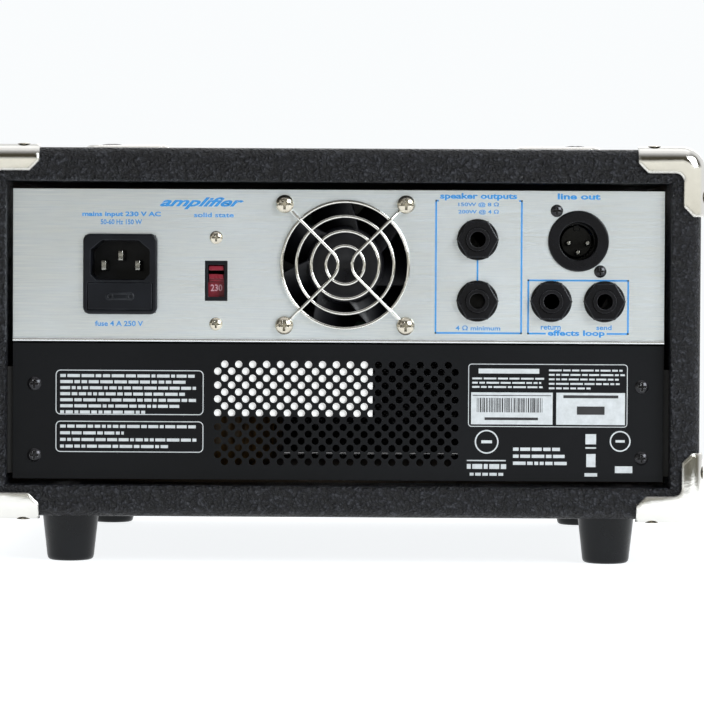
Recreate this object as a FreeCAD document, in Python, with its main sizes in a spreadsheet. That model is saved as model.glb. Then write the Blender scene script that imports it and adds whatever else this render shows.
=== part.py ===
import FreeCAD, Part
import math
import os
import re
import Sketcher

# Small bass amplifier head: a vinyl-covered plywood cabinet on four rubber feet, with metal corners,
# a steel chassis, connectors on the rear (-Y) and controls on the front (+Y).
# Millimetres, +Z up, origin on the floor under the middle of the cabinet.

SIZES = {
    # cabinet
    "cab_wide": 298, "cab_deep": 254, "cab_tall": 152, "foot_tall": 19.7,
    "side_wall": 12.5, "floor_wall": 13, "roof_wall": 14,
    "vinyl": 1, "vinyl_wrap": 25, "long_round": 8, "rim_round": 5, "rebate": 5.5,
    # corner protectors
    "leg_long": 26.2, "leg_up": 27.6, "leg_wide": 9.8, "leg_narrow": 7.6, "leg_slant": 4, "leg_round": 3.5,
    "corner_gap": 0.1, "corner_metal": 1.2, "corner_screw": 19.4,
    # feet and handle
    "foot_x": 112, "foot_y": 102, "foot_top": 11.8, "foot_base": 9.6, "foot_edge": 1.6,
    "cap_x": 96, "cap_long": 38, "cap_wide": 33, "cap_tall": 5.3, "cap_screw": 104,
    "strap_wide": 24, "strap_thick": 2.6, "strap_bulge": 3.6,
    # rear panels
    "rear_recess": 6, "face_thick": 1.5, "steel": 1.2, "tray_half": 133, "bolt_x": 127, "bolt_y": 70,
    "upper_wide": 268.5, "upper_low": 91.85, "upper_high": 154.7, "lip_tall": 1.3, "lip_out": 0.8,
    "lower_wide": 268.4, "lower_low": 35, "lower_high": 91, "lower_thick": 1,
    "lower_screw_x": 125.3, "lower_screw_low": 44.7, "lower_screw_high": 74.2,
    "cleat_low": 37.2, "cleat_high": 81.2, "card_left": -54, "card_right": 14.4, "card_low": 61.2, "card_high": 85.7,
    "vent_x": -0.6, "vent_top": 82.6, "vent_pitch": 5.76, "vent_row": 2.87, "vent_round": 1.52,
    # fan
    "fan_x": 2.8, "fan_z": 123.75, "fan_side": 60, "fan_deep": 25, "fan_hole": 26.9, "fan_bore": 28.4,
    "fan_screw": 25, "hub_round": 16, "blade_tip": 27.9, "wire": 0.7, "ring_step": 6.08, "ring_first": 7.9,
    "wire_bend": 7,
    # mains inlet
    "inlet_x": -89.9, "inlet_z": 119.6, "inlet_wide": 30.6, "inlet_tall": 33.2, "inlet_deep": 26,
    "bezel_out": 2.2, "bezel_round": 3, "socket_z": 125.3, "socket_wide": 24.3, "socket_tall": 16.3,
    "socket_slant": 4.6, "socket_deep": 17, "pin_pitch": 7, "fuse_z": 110.4, "drawer_wide": 26.4,
    "drawer_tall": 10.9, "tray_wide": 22.6, "tray_tall": 8.6, "tray_deep": 20,
    # voltage selector
    "selector_x": -50.4, "selector_z": 117, "boss_wide": 9.2, "boss_tall": 16.4, "view_wide": 6.6,
    "view_tall": 13.2, "selector_screw": 17.85, "slider_travel": 6,
    # line output
    "xlr_x": 98.8, "xlr_z": 134.05, "xlr_collar": 12.45, "xlr_mouth": 7.9, "xlr_screw_x": 9, "xlr_screw_z": 12.45,
    # jacks
    "speaker_x": 57.3, "speaker_up": 134.5, "speaker_down": 109.2, "return_x": 87.7, "send_x": 109.6,
    "loop_z": 109.2, "plug_bore": 3.25, "bore_long": 30, "bush_round": 4.75, "nut_flange": 8.5, "nut_flats": 7.25,
    # front
    "front_recess": 19, "control_z": 123.2, "input_x": -114, "pad_x": -93, "knob_step": 34, "lamp_x": 92,
    "power_x": 114, "knob_skirt": 10, "knob_top": 8, "shaft_round": 3, "rocker_round": 6.5, "rocker_long": 11,
    "grille_low": 33.4, "grille_high": 91.2, "grille_half": 134, "grille_bar": 18, "grille_face": 118,
    # inside
    "coil_x": -72, "coil_y": 5, "coil_out": 45, "coil_in": 14, "coil_tall": 38,
    "board_x": 50, "board_half": 65, "board_reach": 70, "board_z": 98.2,
    "preamp_half": 84, "preamp_low": 102.2, "preamp_high": 148.2,
}

CAB_LOW = "foot_tall"
CAB_HIGH = "(foot_tall + cab_tall)"
HALF_WIDE = "(cab_wide / 2)"
REAR = "(-cab_deep / 2)"
FRONT = "(cab_deep / 2)"
PLY_SIDE = "(cab_wide / 2 - side_wall + vinyl)"
PLY_FLOOR = "(foot_tall + floor_wall - vinyl)"
PLY_ROOF = "(foot_tall + cab_tall - roof_wall + vinyl)"
PANEL = "(-cab_deep / 2 + rear_recess)"
FLANGE = f"({PANEL} + face_thick)"
BEHIND = f"({FLANGE} + steel)"
CONTROL = "(cab_deep / 2 - front_recess)"
FRONT_INNER = f"({CONTROL} - face_thick - steel)"

V = FreeCAD.Vector
TO_X = FreeCAD.Rotation(V(0, 1, 0), 90)
TO_REAR = FreeCAD.Rotation(V(1, 0, 0), 90)
TO_FRONT = FreeCAD.Rotation(V(1, 0, 0), -90)
UPRIGHT = FreeCAD.Rotation()
ALONG = {"x": TO_X, "y": TO_FRONT, "z": UPRIGHT}

doc = FreeCAD.newDocument("AmplifierHead")
dims = doc.addObject("Spreadsheet::Sheet", "Dims")
for row, (word, number) in enumerate(SIZES.items(), start=1):
    dims.set(f"A{row}", word)
    dims.set(f"B{row}", str(number))
    dims.setAlias(f"B{row}", word)
doc.recompute()
pieces = []


# ---------------------------------------------------------------- ways of making a piece

def formula(text):
    """Turns the words of a formula into cells of the sheet."""
    return re.sub(r"[a-z][a-z_]+", lambda found: "Dims." + found.group(), str(text))


def bind(thing, **settings):
    """Binds properties to formulas; a double underscore stands for a dot."""
    for name, text in settings.items():
        thing.setExpression(name.replace("__", "."), formula(text))
    return thing


def move(thing, x, y, z, turn=UPRIGHT):
    """Places an object by formulas, turned by a fixed rotation."""
    thing.Placement = FreeCAD.Placement(V(), turn)
    return bind(thing, Placement__Base__x=x, Placement__Base__y=y, Placement__Base__z=z)


def keep(thing, label):
    """Marks a finished sub-part and names its file."""
    thing.Label = label
    pieces.append(thing)
    return thing


def box(name, x, y, z):
    """A block between two limits along each axis."""
    block = doc.addObject("Part::Box", name)
    bind(block, Length=f"({x[1]}) - ({x[0]})", Width=f"({y[1]}) - ({y[0]})", Height=f"({z[1]}) - ({z[0]})")
    return move(block, x[0], y[0], z[0])


def rod(name, axis, radius, centre, span):
    """A cylinder along an axis; centre holds the other two coordinates in X, Y, Z order."""
    cylinder = doc.addObject("Part::Cylinder", name)
    bind(cylinder, Radius=radius, Height=f"({span[1]}) - ({span[0]})")
    first, second = [letter for letter in "xyz" if letter != axis]
    spots = {axis: span[0], first: centre[0], second: centre[1]}
    return move(cylinder, spots["x"], spots["y"], spots["z"], ALONG[axis])


def gather(kind, name, shapes):
    whole = doc.addObject(kind, name)
    whole.Shapes = list(shapes)
    return whole


def fuse(name, *shapes):
    return gather("Part::MultiFuse", name, shapes)


def meet(name, *shapes):
    return gather("Part::MultiCommon", name, shapes)


def group(name, *shapes):
    """Separate solids kept together as one sub-part."""
    whole = doc.addObject("Part::Compound", name)
    whole.Links = list(shapes)
    return whole


def cut(name, base, *tools):
    result = doc.addObject("Part::Cut", name)
    result.Base = base
    result.Tool = tools[0] if len(tools) == 1 else group(name + "_tools", *tools)
    return result


def copies(name, source, places, turn=UPRIGHT):
    """One linked copy of a piece at each place; a place may end in a turn of its own."""
    links = []
    for number, place in enumerate(places, start=1):
        link = doc.addObject("App::Link", f"{name}_{number}")
        link.LinkedObject = source
        link.LinkTransform = True
        links.append(move(link, *place[:3], place[3] if len(place) > 3 else turn))
    return group(name, *links)


def tube(name, axis, outer, inner, centre, span):
    """A round sleeve open at both ends."""
    return cut(name, rod(name + "_out", axis, outer, centre, span), rod(name + "_in", axis, inner, centre, span))


def hexagon(name, flats, centre, span):
    """A six-sided prism along Y; flats is half the distance across its flats."""
    prism = doc.addObject("Part::Prism", name)
    prism.Polygon = 6
    bind(prism, Circumradius=f"({flats}) * 1.1547", Height=f"({span[1]}) - ({span[0]})")
    return move(prism, centre[0], span[0], centre[1], TO_FRONT)


def sketch(body, role, offset):
    """A sketch on one of its body's own planes, offset along the plane's normal."""
    drawing = body.newObject("Sketcher::SketchObject", body.Name + "_sketch")
    plane = next(item for item in body.Origin.OriginFeatures if item.Role == role)
    drawing.AttachmentSupport = [(plane, "")]
    drawing.MapMode = "FlatFace"
    drawing.setExpression("AttachmentOffset.Base.z", formula(offset))
    return drawing


def hold(drawing, kind, text, *where):
    """A dimension of a sketch, bound to a formula."""
    number = drawing.addConstraint(Sketcher.Constraint(kind, *where, 1.0))
    drawing.renameConstraint(number, f"size{number}")
    drawing.setExpression(f"Constraints.size{number}", formula(text))


def outline(drawing, points):
    """A closed polygon whose corners are held by formulas."""
    first = drawing.GeometryCount
    count = len(points)
    for step in range(count):
        start = V(step, step * step, 0)
        end = V(step + 1, (step + 1) ** 2, 0)
        drawing.addGeometry(Part.LineSegment(start, end), False)
    for step, (across, up) in enumerate(points):
        after = first + (step + 1) % count
        drawing.addConstraint(Sketcher.Constraint("Coincident", first + step, 2, after, 1))
        hold(drawing, "DistanceX", across, -1, 1, first + step, 1)
        hold(drawing, "DistanceY", up, -1, 1, first + step, 1)


def circle(drawing, across, up, radius):
    number = drawing.addGeometry(Part.Circle(V(), V(0, 0, 1), 1.0), False)
    hold(drawing, "Radius", radius, number)
    hold(drawing, "DistanceX", across, -1, 1, number, 3)
    hold(drawing, "DistanceY", up, -1, 1, number, 3)


def rectangle(low, high, bottom, top):
    return [(low, bottom), (high, bottom), (high, top), (low, top)]


def slab(body, y, *outlines, circles=()):
    """Adds a slab between two Y levels: the first outline is its edge, the others are holes."""
    drawing = sketch(body, "XZ_Plane", f"-({y[0]})")
    for points in outlines:
        outline(drawing, points)
    for across, up, radius in circles:
        circle(drawing, across, up, radius)
    pad = body.newObject("PartDesign::Pad", body.Name + "_slab")
    pad.Profile = drawing
    pad.Reversed = True
    bind(pad, Length=f"({y[1]}) - ({y[0]})")
    doc.recompute()


def soften(body, kind, size, choose):
    """Rounds or chamfers the chosen edges of a body."""
    doc.recompute()
    tip = body.Tip
    names = [f"Edge{n}" for n, edge in enumerate(tip.Shape.Edges, start=1) if choose(edge.BoundBox)]
    finish = body.newObject("PartDesign::" + kind, body.Name + "_" + kind)
    finish.Base = (tip, names)
    bind(finish, **{"Radius" if kind == "Fillet" else "Size": size})
    doc.recompute()


def spun(label, points):
    """A body turned about Z from a half profile of (radius, height) points."""
    body = doc.addObject("PartDesign::Body", label)
    drawing = sketch(body, "XZ_Plane", "0")
    outline(drawing, points)
    turned = body.newObject("PartDesign::Revolution", label + "_turned")
    turned.Profile = drawing
    turned.ReferenceAxis = (drawing, ["V_Axis"])
    doc.recompute()
    return body


def screw(name, head, rise, shank, reach):
    """A cross-head screw pointing down from Z 0: dome head of radius head and height rise."""
    edge = 0.3
    dome = f"(({head}) ^ 2 + ({rise} - {edge}) ^ 2) / (2 * ({rise} - {edge}))"
    ball = bind(doc.addObject("Part::Sphere", name + "_ball"), Radius=dome, Placement__Base__z=f"{rise} - {dome}")
    head_blank = rod(name + "_blank", "z", head, ("0", "0"), ("0", rise))
    body = fuse(name + "_body", meet(name + "_head", head_blank, ball),
                rod(name + "_shank", "z", shank, ("0", "0"), (f"-({reach})", "0.01")))
    slots = []
    for number, (wide, long) in enumerate(((0.14, 0.6), (0.6, 0.14)), start=1):
        slots.append(box(f"{name}_slot{number}", (f"-{wide} * ({head})", f"{wide} * ({head})"),
                         (f"-{long} * ({head})", f"{long} * ({head})"), (f"{rise} * 0.35", f"{rise} + 1")))
    return cut(name, body, fuse(name + "_cross", *slots))


def mirrored(*values):
    """A formula and its negative, for pieces that repeat on both sides."""
    return [sign + f"({value})" for value in values for sign in ("-", "")]


# ---------------------------------------------------------------- cabinet

def rounded_block(label, inset):
    """The cabinet's outer form, drawn in by an inset."""
    body = doc.addObject("PartDesign::Body", label)
    half = f"{HALF_WIDE} - {inset}"
    slab(body, (f"{REAR} + {inset}", f"{FRONT} - {inset}"),
         rectangle(f"-({half})", half, f"{CAB_LOW} + {inset}", f"{CAB_HIGH} - {inset}"))
    soften(body, "Fillet", f"long_round - {inset}", lambda edge: edge.XLength < 1 and edge.ZLength < 1)
    soften(body, "Fillet", f"rim_round - {inset}", lambda edge: edge.YLength < 0.01)
    return body


def cabinet(pilots):
    """Four boards rebated together, the vinyl around them and the battens inside."""
    inner_x = (f"-{PLY_SIDE}", PLY_SIDE)
    opening_x = (f"-({HALF_WIDE} - side_wall)", f"{HALF_WIDE} - side_wall")
    opening_z = (f"{CAB_LOW} + floor_wall", f"{CAB_HIGH} - roof_wall")
    through = (f"{REAR} - 1", f"{FRONT} + 1")
    form = rounded_block("ply_form", "vinyl")
    hollow = box("ply_hollow", inner_x, through, (PLY_FLOOR, PLY_ROOF))
    ply = cut("ply_ring", form, hollow)

    skin = rounded_block("skin_form", "0")
    mouth = box("skin_mouth", opening_x, through, opening_z)
    middle = box("skin_middle", inner_x, (f"{REAR} + vinyl_wrap", f"{FRONT} - vinyl_wrap"), (PLY_FLOOR, PLY_ROOF))
    keep(cut("vinyl_skin", skin, ply, fuse("skin_inside", mouth, middle), pilots), "vinyl_covering")

    sides = {}
    for side, low, high, tongue_low, tongue_high in (
            ("left", f"-{HALF_WIDE}", f"-{PLY_SIDE}", f"-{PLY_SIDE} - rebate", f"-{PLY_SIDE}"),
            ("right", PLY_SIDE, HALF_WIDE, PLY_SIDE, f"{PLY_SIDE} + rebate")):
        board = box(f"{side}_blank", (low, high), through, (PLY_FLOOR, PLY_ROOF))
        tongue = box(f"{side}_tongue", (tongue_low, tongue_high), through,
                     (f"{PLY_FLOOR} - rebate", f"{PLY_ROOF} + rebate"))
        sides[side] = fuse(f"{side}_region", board, tongue)
        region = meet(f"{side}_board", ply, sides[side])
        keep(cut(f"{side}_drilled", region, pilots), f"cabinet_{side}_board")
    for end, low, high in (("bottom", "0", PLY_FLOOR), ("top", PLY_ROOF, f"{CAB_HIGH} + 1")):
        blank = box(f"{end}_blank", (f"-{HALF_WIDE}", HALF_WIDE), through, (low, high))
        region = meet(f"{end}_board", ply, blank)
        keep(cut(f"{end}_drilled", region, sides["left"], sides["right"], pilots), f"cabinet_{end}_board")

    rails = []
    cleats = []
    for side, low, high in (("left", f"-{PLY_SIDE}", f"-{PLY_SIDE} + 18"), ("right", f"{PLY_SIDE} - 18", PLY_SIDE)):
        rails.append(box(f"{side}_rail", (low, high), ("-95", "95"), ("upper_low - 12", "upper_low + 0.15")))
        inward = (f"({low}) + vinyl", high) if side == "left" else (low, f"({high}) - vinyl")
        cleats.append(box(f"{side}_cleat", inward, (f"{PANEL} + lower_thick", f"{REAR} + vinyl_wrap"), ("cleat_low", "cleat_high")))
    pilots_rear = copies("cleat_pilots", rod("cleat_pilot", "z", "1.55", ("0", "0"), ("-14", "1")),
                         lower_screw_places(f"{PANEL}"), TO_REAR)
    keep(cut("battens_drilled", group("battens", *rails, *cleats), pilots_rear, bolt_holes()), "inner_battens")


def lower_screw_places(y):
    return [(x, y, z) for x in mirrored("lower_screw_x") for z in ("lower_screw_low", "lower_screw_high")]


def bolt_holes():
    return copies("chassis_bolt_holes", rod("chassis_bolt_hole", "z", "2.1", ("0", "0"), ("grille_low", "board_z")),
                  [(x, y, "0") for x in mirrored("bolt_x") for y in mirrored("bolt_y")])


# ---------------------------------------------------------------- corners, feet and handle

def corner_places():
    """The cabinet corner and the turn of each protector: at each end, two of one hand and two of the other."""
    half_turn = FreeCAD.Rotation(V(0, 0, 1), 180)
    over = FreeCAD.Rotation(V(0, 1, 0), 180)
    ends = []
    for y, first, sign, other in ((REAR, UPRIGHT, "", "-"), (FRONT, half_turn, "-", "")):
        ends.append([(sign + HALF_WIDE, y, CAB_HIGH, first), (other + HALF_WIDE, y, CAB_LOW, over.multiply(first))])
        ends.append([(other + HALF_WIDE, y, CAB_HIGH, first), (sign + HALF_WIDE, y, CAB_LOW, over.multiply(first))])
    return ends


def corner_form(label, reach):
    """A piece of rounded cabinet corner, grown outwards by reach, with its tip at the local origin."""
    body = doc.addObject("PartDesign::Body", label)
    slab(body, (f"-({reach})", "40"), rectangle("-40", reach, "-40", reach))
    soften(body, "Fillet", f"long_round + {reach}",
           lambda edge: edge.YLength > 1 and edge.XMin > 0 and edge.ZMin > 0)
    soften(body, "Fillet", f"rim_round + {reach}",
           lambda edge: edge.YMax < 0 and edge.XMax > -39 and edge.ZMax > -39)
    return body


def leg_region(label, role, across, up, normal, upright="leg_wide", rise="leg_up"):
    """An L-shaped prism that limits the protector in one view; across and up are the inward signs."""
    body = doc.addObject("PartDesign::Body", label)
    drawing = sketch(body, role, "-45")
    short = "leg_long - leg_slant"
    corners = [("-4", "-4"), ("leg_long", "-4"), ("leg_long", "leg_wide - leg_slant"), (short, "leg_wide"),
               (upright, "leg_wide"), (upright, f"{rise} - leg_slant"), (f"{upright} - leg_slant", rise), ("-4", rise)]
    outline(drawing, [(f"{across}({a})", f"{up}({b})") for a, b in corners])
    pad = body.newObject("PartDesign::Pad", label + "_pad")
    pad.Profile = drawing
    bind(pad, Length="90")
    inner = (float(dims.get(upright)), float(dims.get("leg_wide")))
    soften(body, "Fillet", "leg_round", lambda edge: all(
        abs(abs(middle) - wanted) < 0.5 for middle, wanted in zip(flat_middle(edge, normal), inner)))
    return body


def flat_middle(bounds, normal):
    """The centre of a bounding box across the two axes other than the normal."""
    centre = bounds.Center
    return [value for letter, value in zip("xyz", centre) if letter != normal]


def corners():
    shell = cut("corner_shell", corner_form("corner_outside", "corner_gap + corner_metal"),
                corner_form("corner_inside", "corner_gap"))
    pressed = meet("corner_pressing", shell, leg_region("corner_rear_view", "XZ_Plane", "-", "-", "y", "leg_narrow"),
                   leg_region("corner_top_view", "XY_Plane", "-", "", "z", rise="leg_long"),
                   leg_region("corner_side_view", "YZ_Plane", "", "-", "x"))
    hole = rod("corner_hole", "z", "1.6", ("0", "0"), ("-3", "3"))
    pilot = rod("corner_pilot", "z", "1.25", ("0", "0"), ("-8", "3"))
    one = screw("corner_screw_one", "2.7", "1.3", "1.2", "8")
    rise = "corner_gap + corner_metal"
    pair = [("-corner_screw", "leg_wide / 2", rise, UPRIGHT), (rise, "leg_wide / 2", "-corner_screw", TO_X)]
    protector = cut("corner_protector", pressed, copies("corner_pair_of_holes", hole, pair))
    screws = copies("corner_pair_of_screws", one, pair)
    holes = copies("corner_pair_of_pilots", pilot, pair)
    sets = []
    for name, source in (("corners", protector), ("corner_screws", screws), ("corner_pilots", holes)):
        hands = [source, other_hand(f"{name}_other_hand", source)]
        sets.append([copies(f"{name}_{number}", hands[number % 2], places)
                     for number, places in enumerate(corner_places())])
    protectors, all_screws, all_pilots = sets
    keep(group("rear_corners", *protectors[:2]), "rear_corner_protectors")
    keep(group("front_corners", *protectors[2:]), "front_corner_protectors")
    keep(group("all_corner_screws", *all_screws), "corner_screws")
    return group("all_corner_pilots", *all_pilots)


def other_hand(name, source):
    """A piece mirrored left to right in its own frame."""
    mirror = doc.addObject("Part::Mirroring", name)
    mirror.Source = source
    mirror.Normal = V(1, 0, 0)
    return mirror


def foot_places(z):
    return [(x, y, z) for x in mirrored("foot_x") for y in mirrored("foot_y")]


def feet():
    """Tapered rubber feet, each held by one screw through a recess."""
    profile = [("2.2", "foot_tall"), ("foot_top", "foot_tall"), ("foot_top", "foot_tall - 1.5"),
               ("foot_base", "0"), ("5", "0"), ("5", "8"), ("2.2", "8")]
    foot = spun("foot", profile)
    soften(foot, "Fillet", "foot_edge", lambda edge: edge.ZMax < 0.01 and edge.XLength > 14)
    keep(copies("feet", foot, foot_places("0")), "rubber_feet")
    one = screw("foot_screw", "4.2", "2.2", "2", "21")
    keep(copies("all_foot_screws", one, foot_places("8"), FreeCAD.Rotation(V(1, 0, 0), 180)), "foot_screws")
    return copies("foot_pilots", rod("foot_pilot", "z", "2.05", ("0", "0"), ("8", "foot_tall + 11.5")), foot_places("0"))


def handle():
    """A low strap held at both ends under moulded caps, free to slide a little as it is lifted."""
    strap = doc.addObject("PartDesign::Body", "strap")
    half = "strap_wide / 2"
    floor = f"{CAB_HIGH} + 0.3"
    slab(strap, (f"-{half}", half), [
        ("-cap_screw - 6.5", floor), ("cap_screw + 6.5", floor), ("cap_screw + 6.5", f"{floor} + strap_thick"),
        ("cap_x - 20", f"{floor} + strap_thick"), ("cap_x - 32", f"{floor} + strap_bulge"),
        ("-cap_x + 32", f"{floor} + strap_bulge"), ("-cap_x + 20", f"{floor} + strap_thick"),
        ("-cap_screw - 6.5", f"{floor} + strap_thick")])
    soften(strap, "Fillet", "1.2", lambda edge: edge.YLength < 0.1 and edge.XLength > 9)
    slots = [box(f"strap_slot{n}", (f"{x} - 4.5", f"{x} + 4.5"), ("-2.6", "2.6"), (CAB_HIGH, f"{CAB_HIGH} + 9"))
             for n, x in enumerate(mirrored("cap_screw"), start=1)]
    keep(cut("strap_slotted", strap, fuse("strap_slots", *slots)), "handle_strap")
    roof = f"{CAB_HIGH} + cap_tall"
    caps = []
    for side, sign in (("left", "-"), ("right", "")):
        middle = f"{sign}cap_x"
        cap = doc.addObject("PartDesign::Body", f"cap_{side}")
        slab(cap, ("-cap_wide / 2", "cap_wide / 2"),
             rectangle(f"{middle} - cap_long / 2", f"{middle} + cap_long / 2", CAB_HIGH, roof))
        soften(cap, "Fillet", "6", lambda edge: edge.ZLength > 3)
        soften(cap, "Fillet", "2.4", lambda edge: edge.ZMin > float(dims.get("cab_tall")) + 20)
        reach = (f"{middle} - 15", f"{middle} + 20") if side == "left" else (f"{middle} - 20", f"{middle} + 15")
        tunnel = box(f"cap_tunnel_{side}", reach, (f"-{half} - 0.4", f"{half} + 0.4"),
                     (f"{CAB_HIGH} - 1", f"{floor} + strap_thick + 0.4"))
        hole = rod(f"cap_hole_{side}", "z", "2.1", (f"{sign}cap_screw", "0"), (CAB_HIGH, f"{CAB_HIGH} + 10"))
        caps.append(cut(f"cap_open_{side}", cap, fuse(f"cap_room_{side}", tunnel, hole)))
    keep(group("caps", *caps), "handle_end_caps")
    places = [(x, "0", roof) for x in mirrored("cap_screw")]
    one = screw("handle_screw", "6", "1", "2", "cap_tall + 12")
    keep(copies("all_handle_screws", one, places), "handle_screws")
    return copies("handle_pilots", rod("handle_pilot", "z", "2.05", ("0", "0"), ("-18", "1")), places)


# ---------------------------------------------------------------- rear panels and chassis

def rear_openings(clearance):
    """Circles and outlines that the rear fittings need in a plate, each grown by a clearance."""
    circles = [("fan_x", "fan_z", "fan_hole")]
    circles += [(f"fan_x{x}", f"fan_z{z}", f"2.15 + {clearance}")
                for x in ("-fan_screw", "+fan_screw") for z in ("-fan_screw", "+fan_screw")]
    circles += [(x, z, f"bush_round + 0.1 + {clearance}") for x, z in jack_places()]
    circles += [("xlr_x", "xlr_z", f"xlr_collar + 0.1 + {clearance}")]
    circles += [(f"xlr_x{a}xlr_screw_x", f"xlr_z{b}xlr_screw_z", f"1.6 + {clearance}") for a, b in ("-+", "+-")]
    circles += [("selector_x", f"selector_z{a}selector_screw", f"1.6 + {clearance}") for a in "-+"]
    inlet = rectangle(f"inlet_x - inlet_wide / 2 + 0.7 - {clearance}", f"inlet_x + inlet_wide / 2 - 0.7 + {clearance}",
                      f"inlet_z - inlet_tall / 2 + 0.7 - {clearance}", f"inlet_z + inlet_tall / 2 - 0.7 + {clearance}")
    selector = rectangle(f"selector_x - boss_wide / 2 - 0.1 - {clearance}",
                         f"selector_x + boss_wide / 2 + 0.1 + {clearance}",
                         f"selector_z - boss_tall / 2 - 0.1 - {clearance}",
                         f"selector_z + boss_tall / 2 + 0.1 + {clearance}")
    return circles, [inlet, selector]


def jack_places():
    return [("speaker_x", "speaker_up"), ("speaker_x", "speaker_down"), ("return_x", "loop_z"), ("send_x", "loop_z")]


def control_circles(clearance):
    """The round holes that the front controls need in a plate."""
    circles = [(x, "control_z", f"3.6 + {clearance}") for x in knob_places()]
    circles += [("input_x", "control_z", f"bush_round + 0.1 + {clearance}")]
    circles += [("pad_x", "control_z", f"4.3 + {clearance}"), ("lamp_x", "control_z", f"3.1 + {clearance}")]
    return circles


def knob_places():
    return [f"{number} * knob_step" for number in range(-2, 3)]


def power_hole(clearance):
    return rectangle(f"power_x - 9 - {clearance}", f"power_x + 9 + {clearance}",
                     f"control_z - 9.5 - {clearance}", f"control_z + 9.5 + {clearance}")


def chassis():
    """A folded steel tray, the aluminium face on its rear flange and the perforated cover below it."""
    circles, outlines = rear_openings("0.2")
    tray = doc.addObject("PartDesign::Body", "tray")
    low = "upper_low + 0.15"
    slab(tray, (FLANGE, BEHIND), rectangle("-tray_half", "tray_half", low, "upper_high - 1"), *outlines, circles=circles)
    slab(tray, (BEHIND, FRONT_INNER), rectangle("-tray_half", "tray_half", low, f"{low} + steel"))
    slab(tray, (FRONT_INNER, f"{FRONT_INNER} + steel"), rectangle("-tray_half", "tray_half", low, "upper_high - 1"),
         power_hole("0.2"), circles=control_circles("0.2"))
    for side, edge, inner in (("left", "-tray_half", "-tray_half + steel"), ("right", "tray_half - steel", "tray_half")):
        slab(tray, (BEHIND, FRONT_INNER), rectangle(edge, inner, f"{low} + steel", f"{low} + 21"))
    keep(cut("tray_drilled", tray, bolt_holes()), "chassis_tray")

    bolt = screw("chassis_bolt", "4", "2.4", "2", "18")
    places = [(x, y, "upper_low - 12") for x in mirrored("bolt_x") for y in mirrored("bolt_y")]
    turn = FreeCAD.Rotation(V(1, 0, 0), 180)
    keep(copies("all_chassis_bolts", bolt, places, turn), "chassis_bolts")

    circles, outlines = rear_openings("0")
    face = doc.addObject("PartDesign::Body", "upper_face")
    half = "upper_wide / 2"
    slab(face, (PANEL, FLANGE), rectangle(f"-{half}", half, "upper_low", "upper_high"), *outlines, circles=circles)
    slab(face, (f"{PANEL} - lip_out", PANEL), rectangle(f"-{half}", half, "upper_low", "upper_low + lip_tall"))
    keep(face, "rear_panel_upper")
    lower_panel()


def lower_panel():
    """A thin plate with staggered rows of vent holes, and the card stuck behind its left part."""
    body = doc.addObject("PartDesign::Body", "lower_face")
    half = "lower_wide / 2"
    y = (PANEL, f"{PANEL} + lower_thick")
    screws = [(x, z, "2.1") for x, _, z in lower_screw_places("0")]
    slab(body, y, rectangle(f"-{half}", half, "lower_low", "lower_high"), circles=screws)
    for start, down, across, rows in (("8", "0", 17, 8), ("8.5", "1", 18, 7)):
        drawing = sketch(body, "XZ_Plane", f"-({PANEL})")
        circle(drawing, f"vent_x - {start} * vent_pitch", f"vent_top - {down} * vent_row", "vent_round")
        first = body.newObject("PartDesign::Pocket", "vent")
        first.Profile = drawing
        first.Midplane = True
        first.Type = "ThroughAll"
        doc.recompute()
        field = body.newObject("PartDesign::MultiTransform", "vent_field")
        field.Originals = [first]
        row = body.newObject("PartDesign::LinearPattern", "vent_row")
        row.Direction = (drawing, ["H_Axis"])
        row.Occurrences = across
        bind(row, Length=f"{across - 1} * vent_pitch")
        column = body.newObject("PartDesign::LinearPattern", "vent_column")
        column.Direction = (drawing, ["V_Axis"])
        column.Reversed = True
        column.Occurrences = rows
        bind(column, Length=f"{2 * (rows - 1)} * vent_row")
        field.Transformations = [row, column]
        body.Tip = field
        doc.recompute()
    keep(body, "rear_panel_lower")
    keep(box("card", ("card_left", "card_right"), (y[1], f"{y[1]} + 0.4"), ("card_low", "card_high")), "insulation_card")
    one = screw("lower_screw", "2.85", "1.5", "1.5", "14")
    keep(copies("all_lower_screws", one, lower_screw_places(PANEL), TO_REAR), "lower_panel_screws")


# ---------------------------------------------------------------- fan

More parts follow.
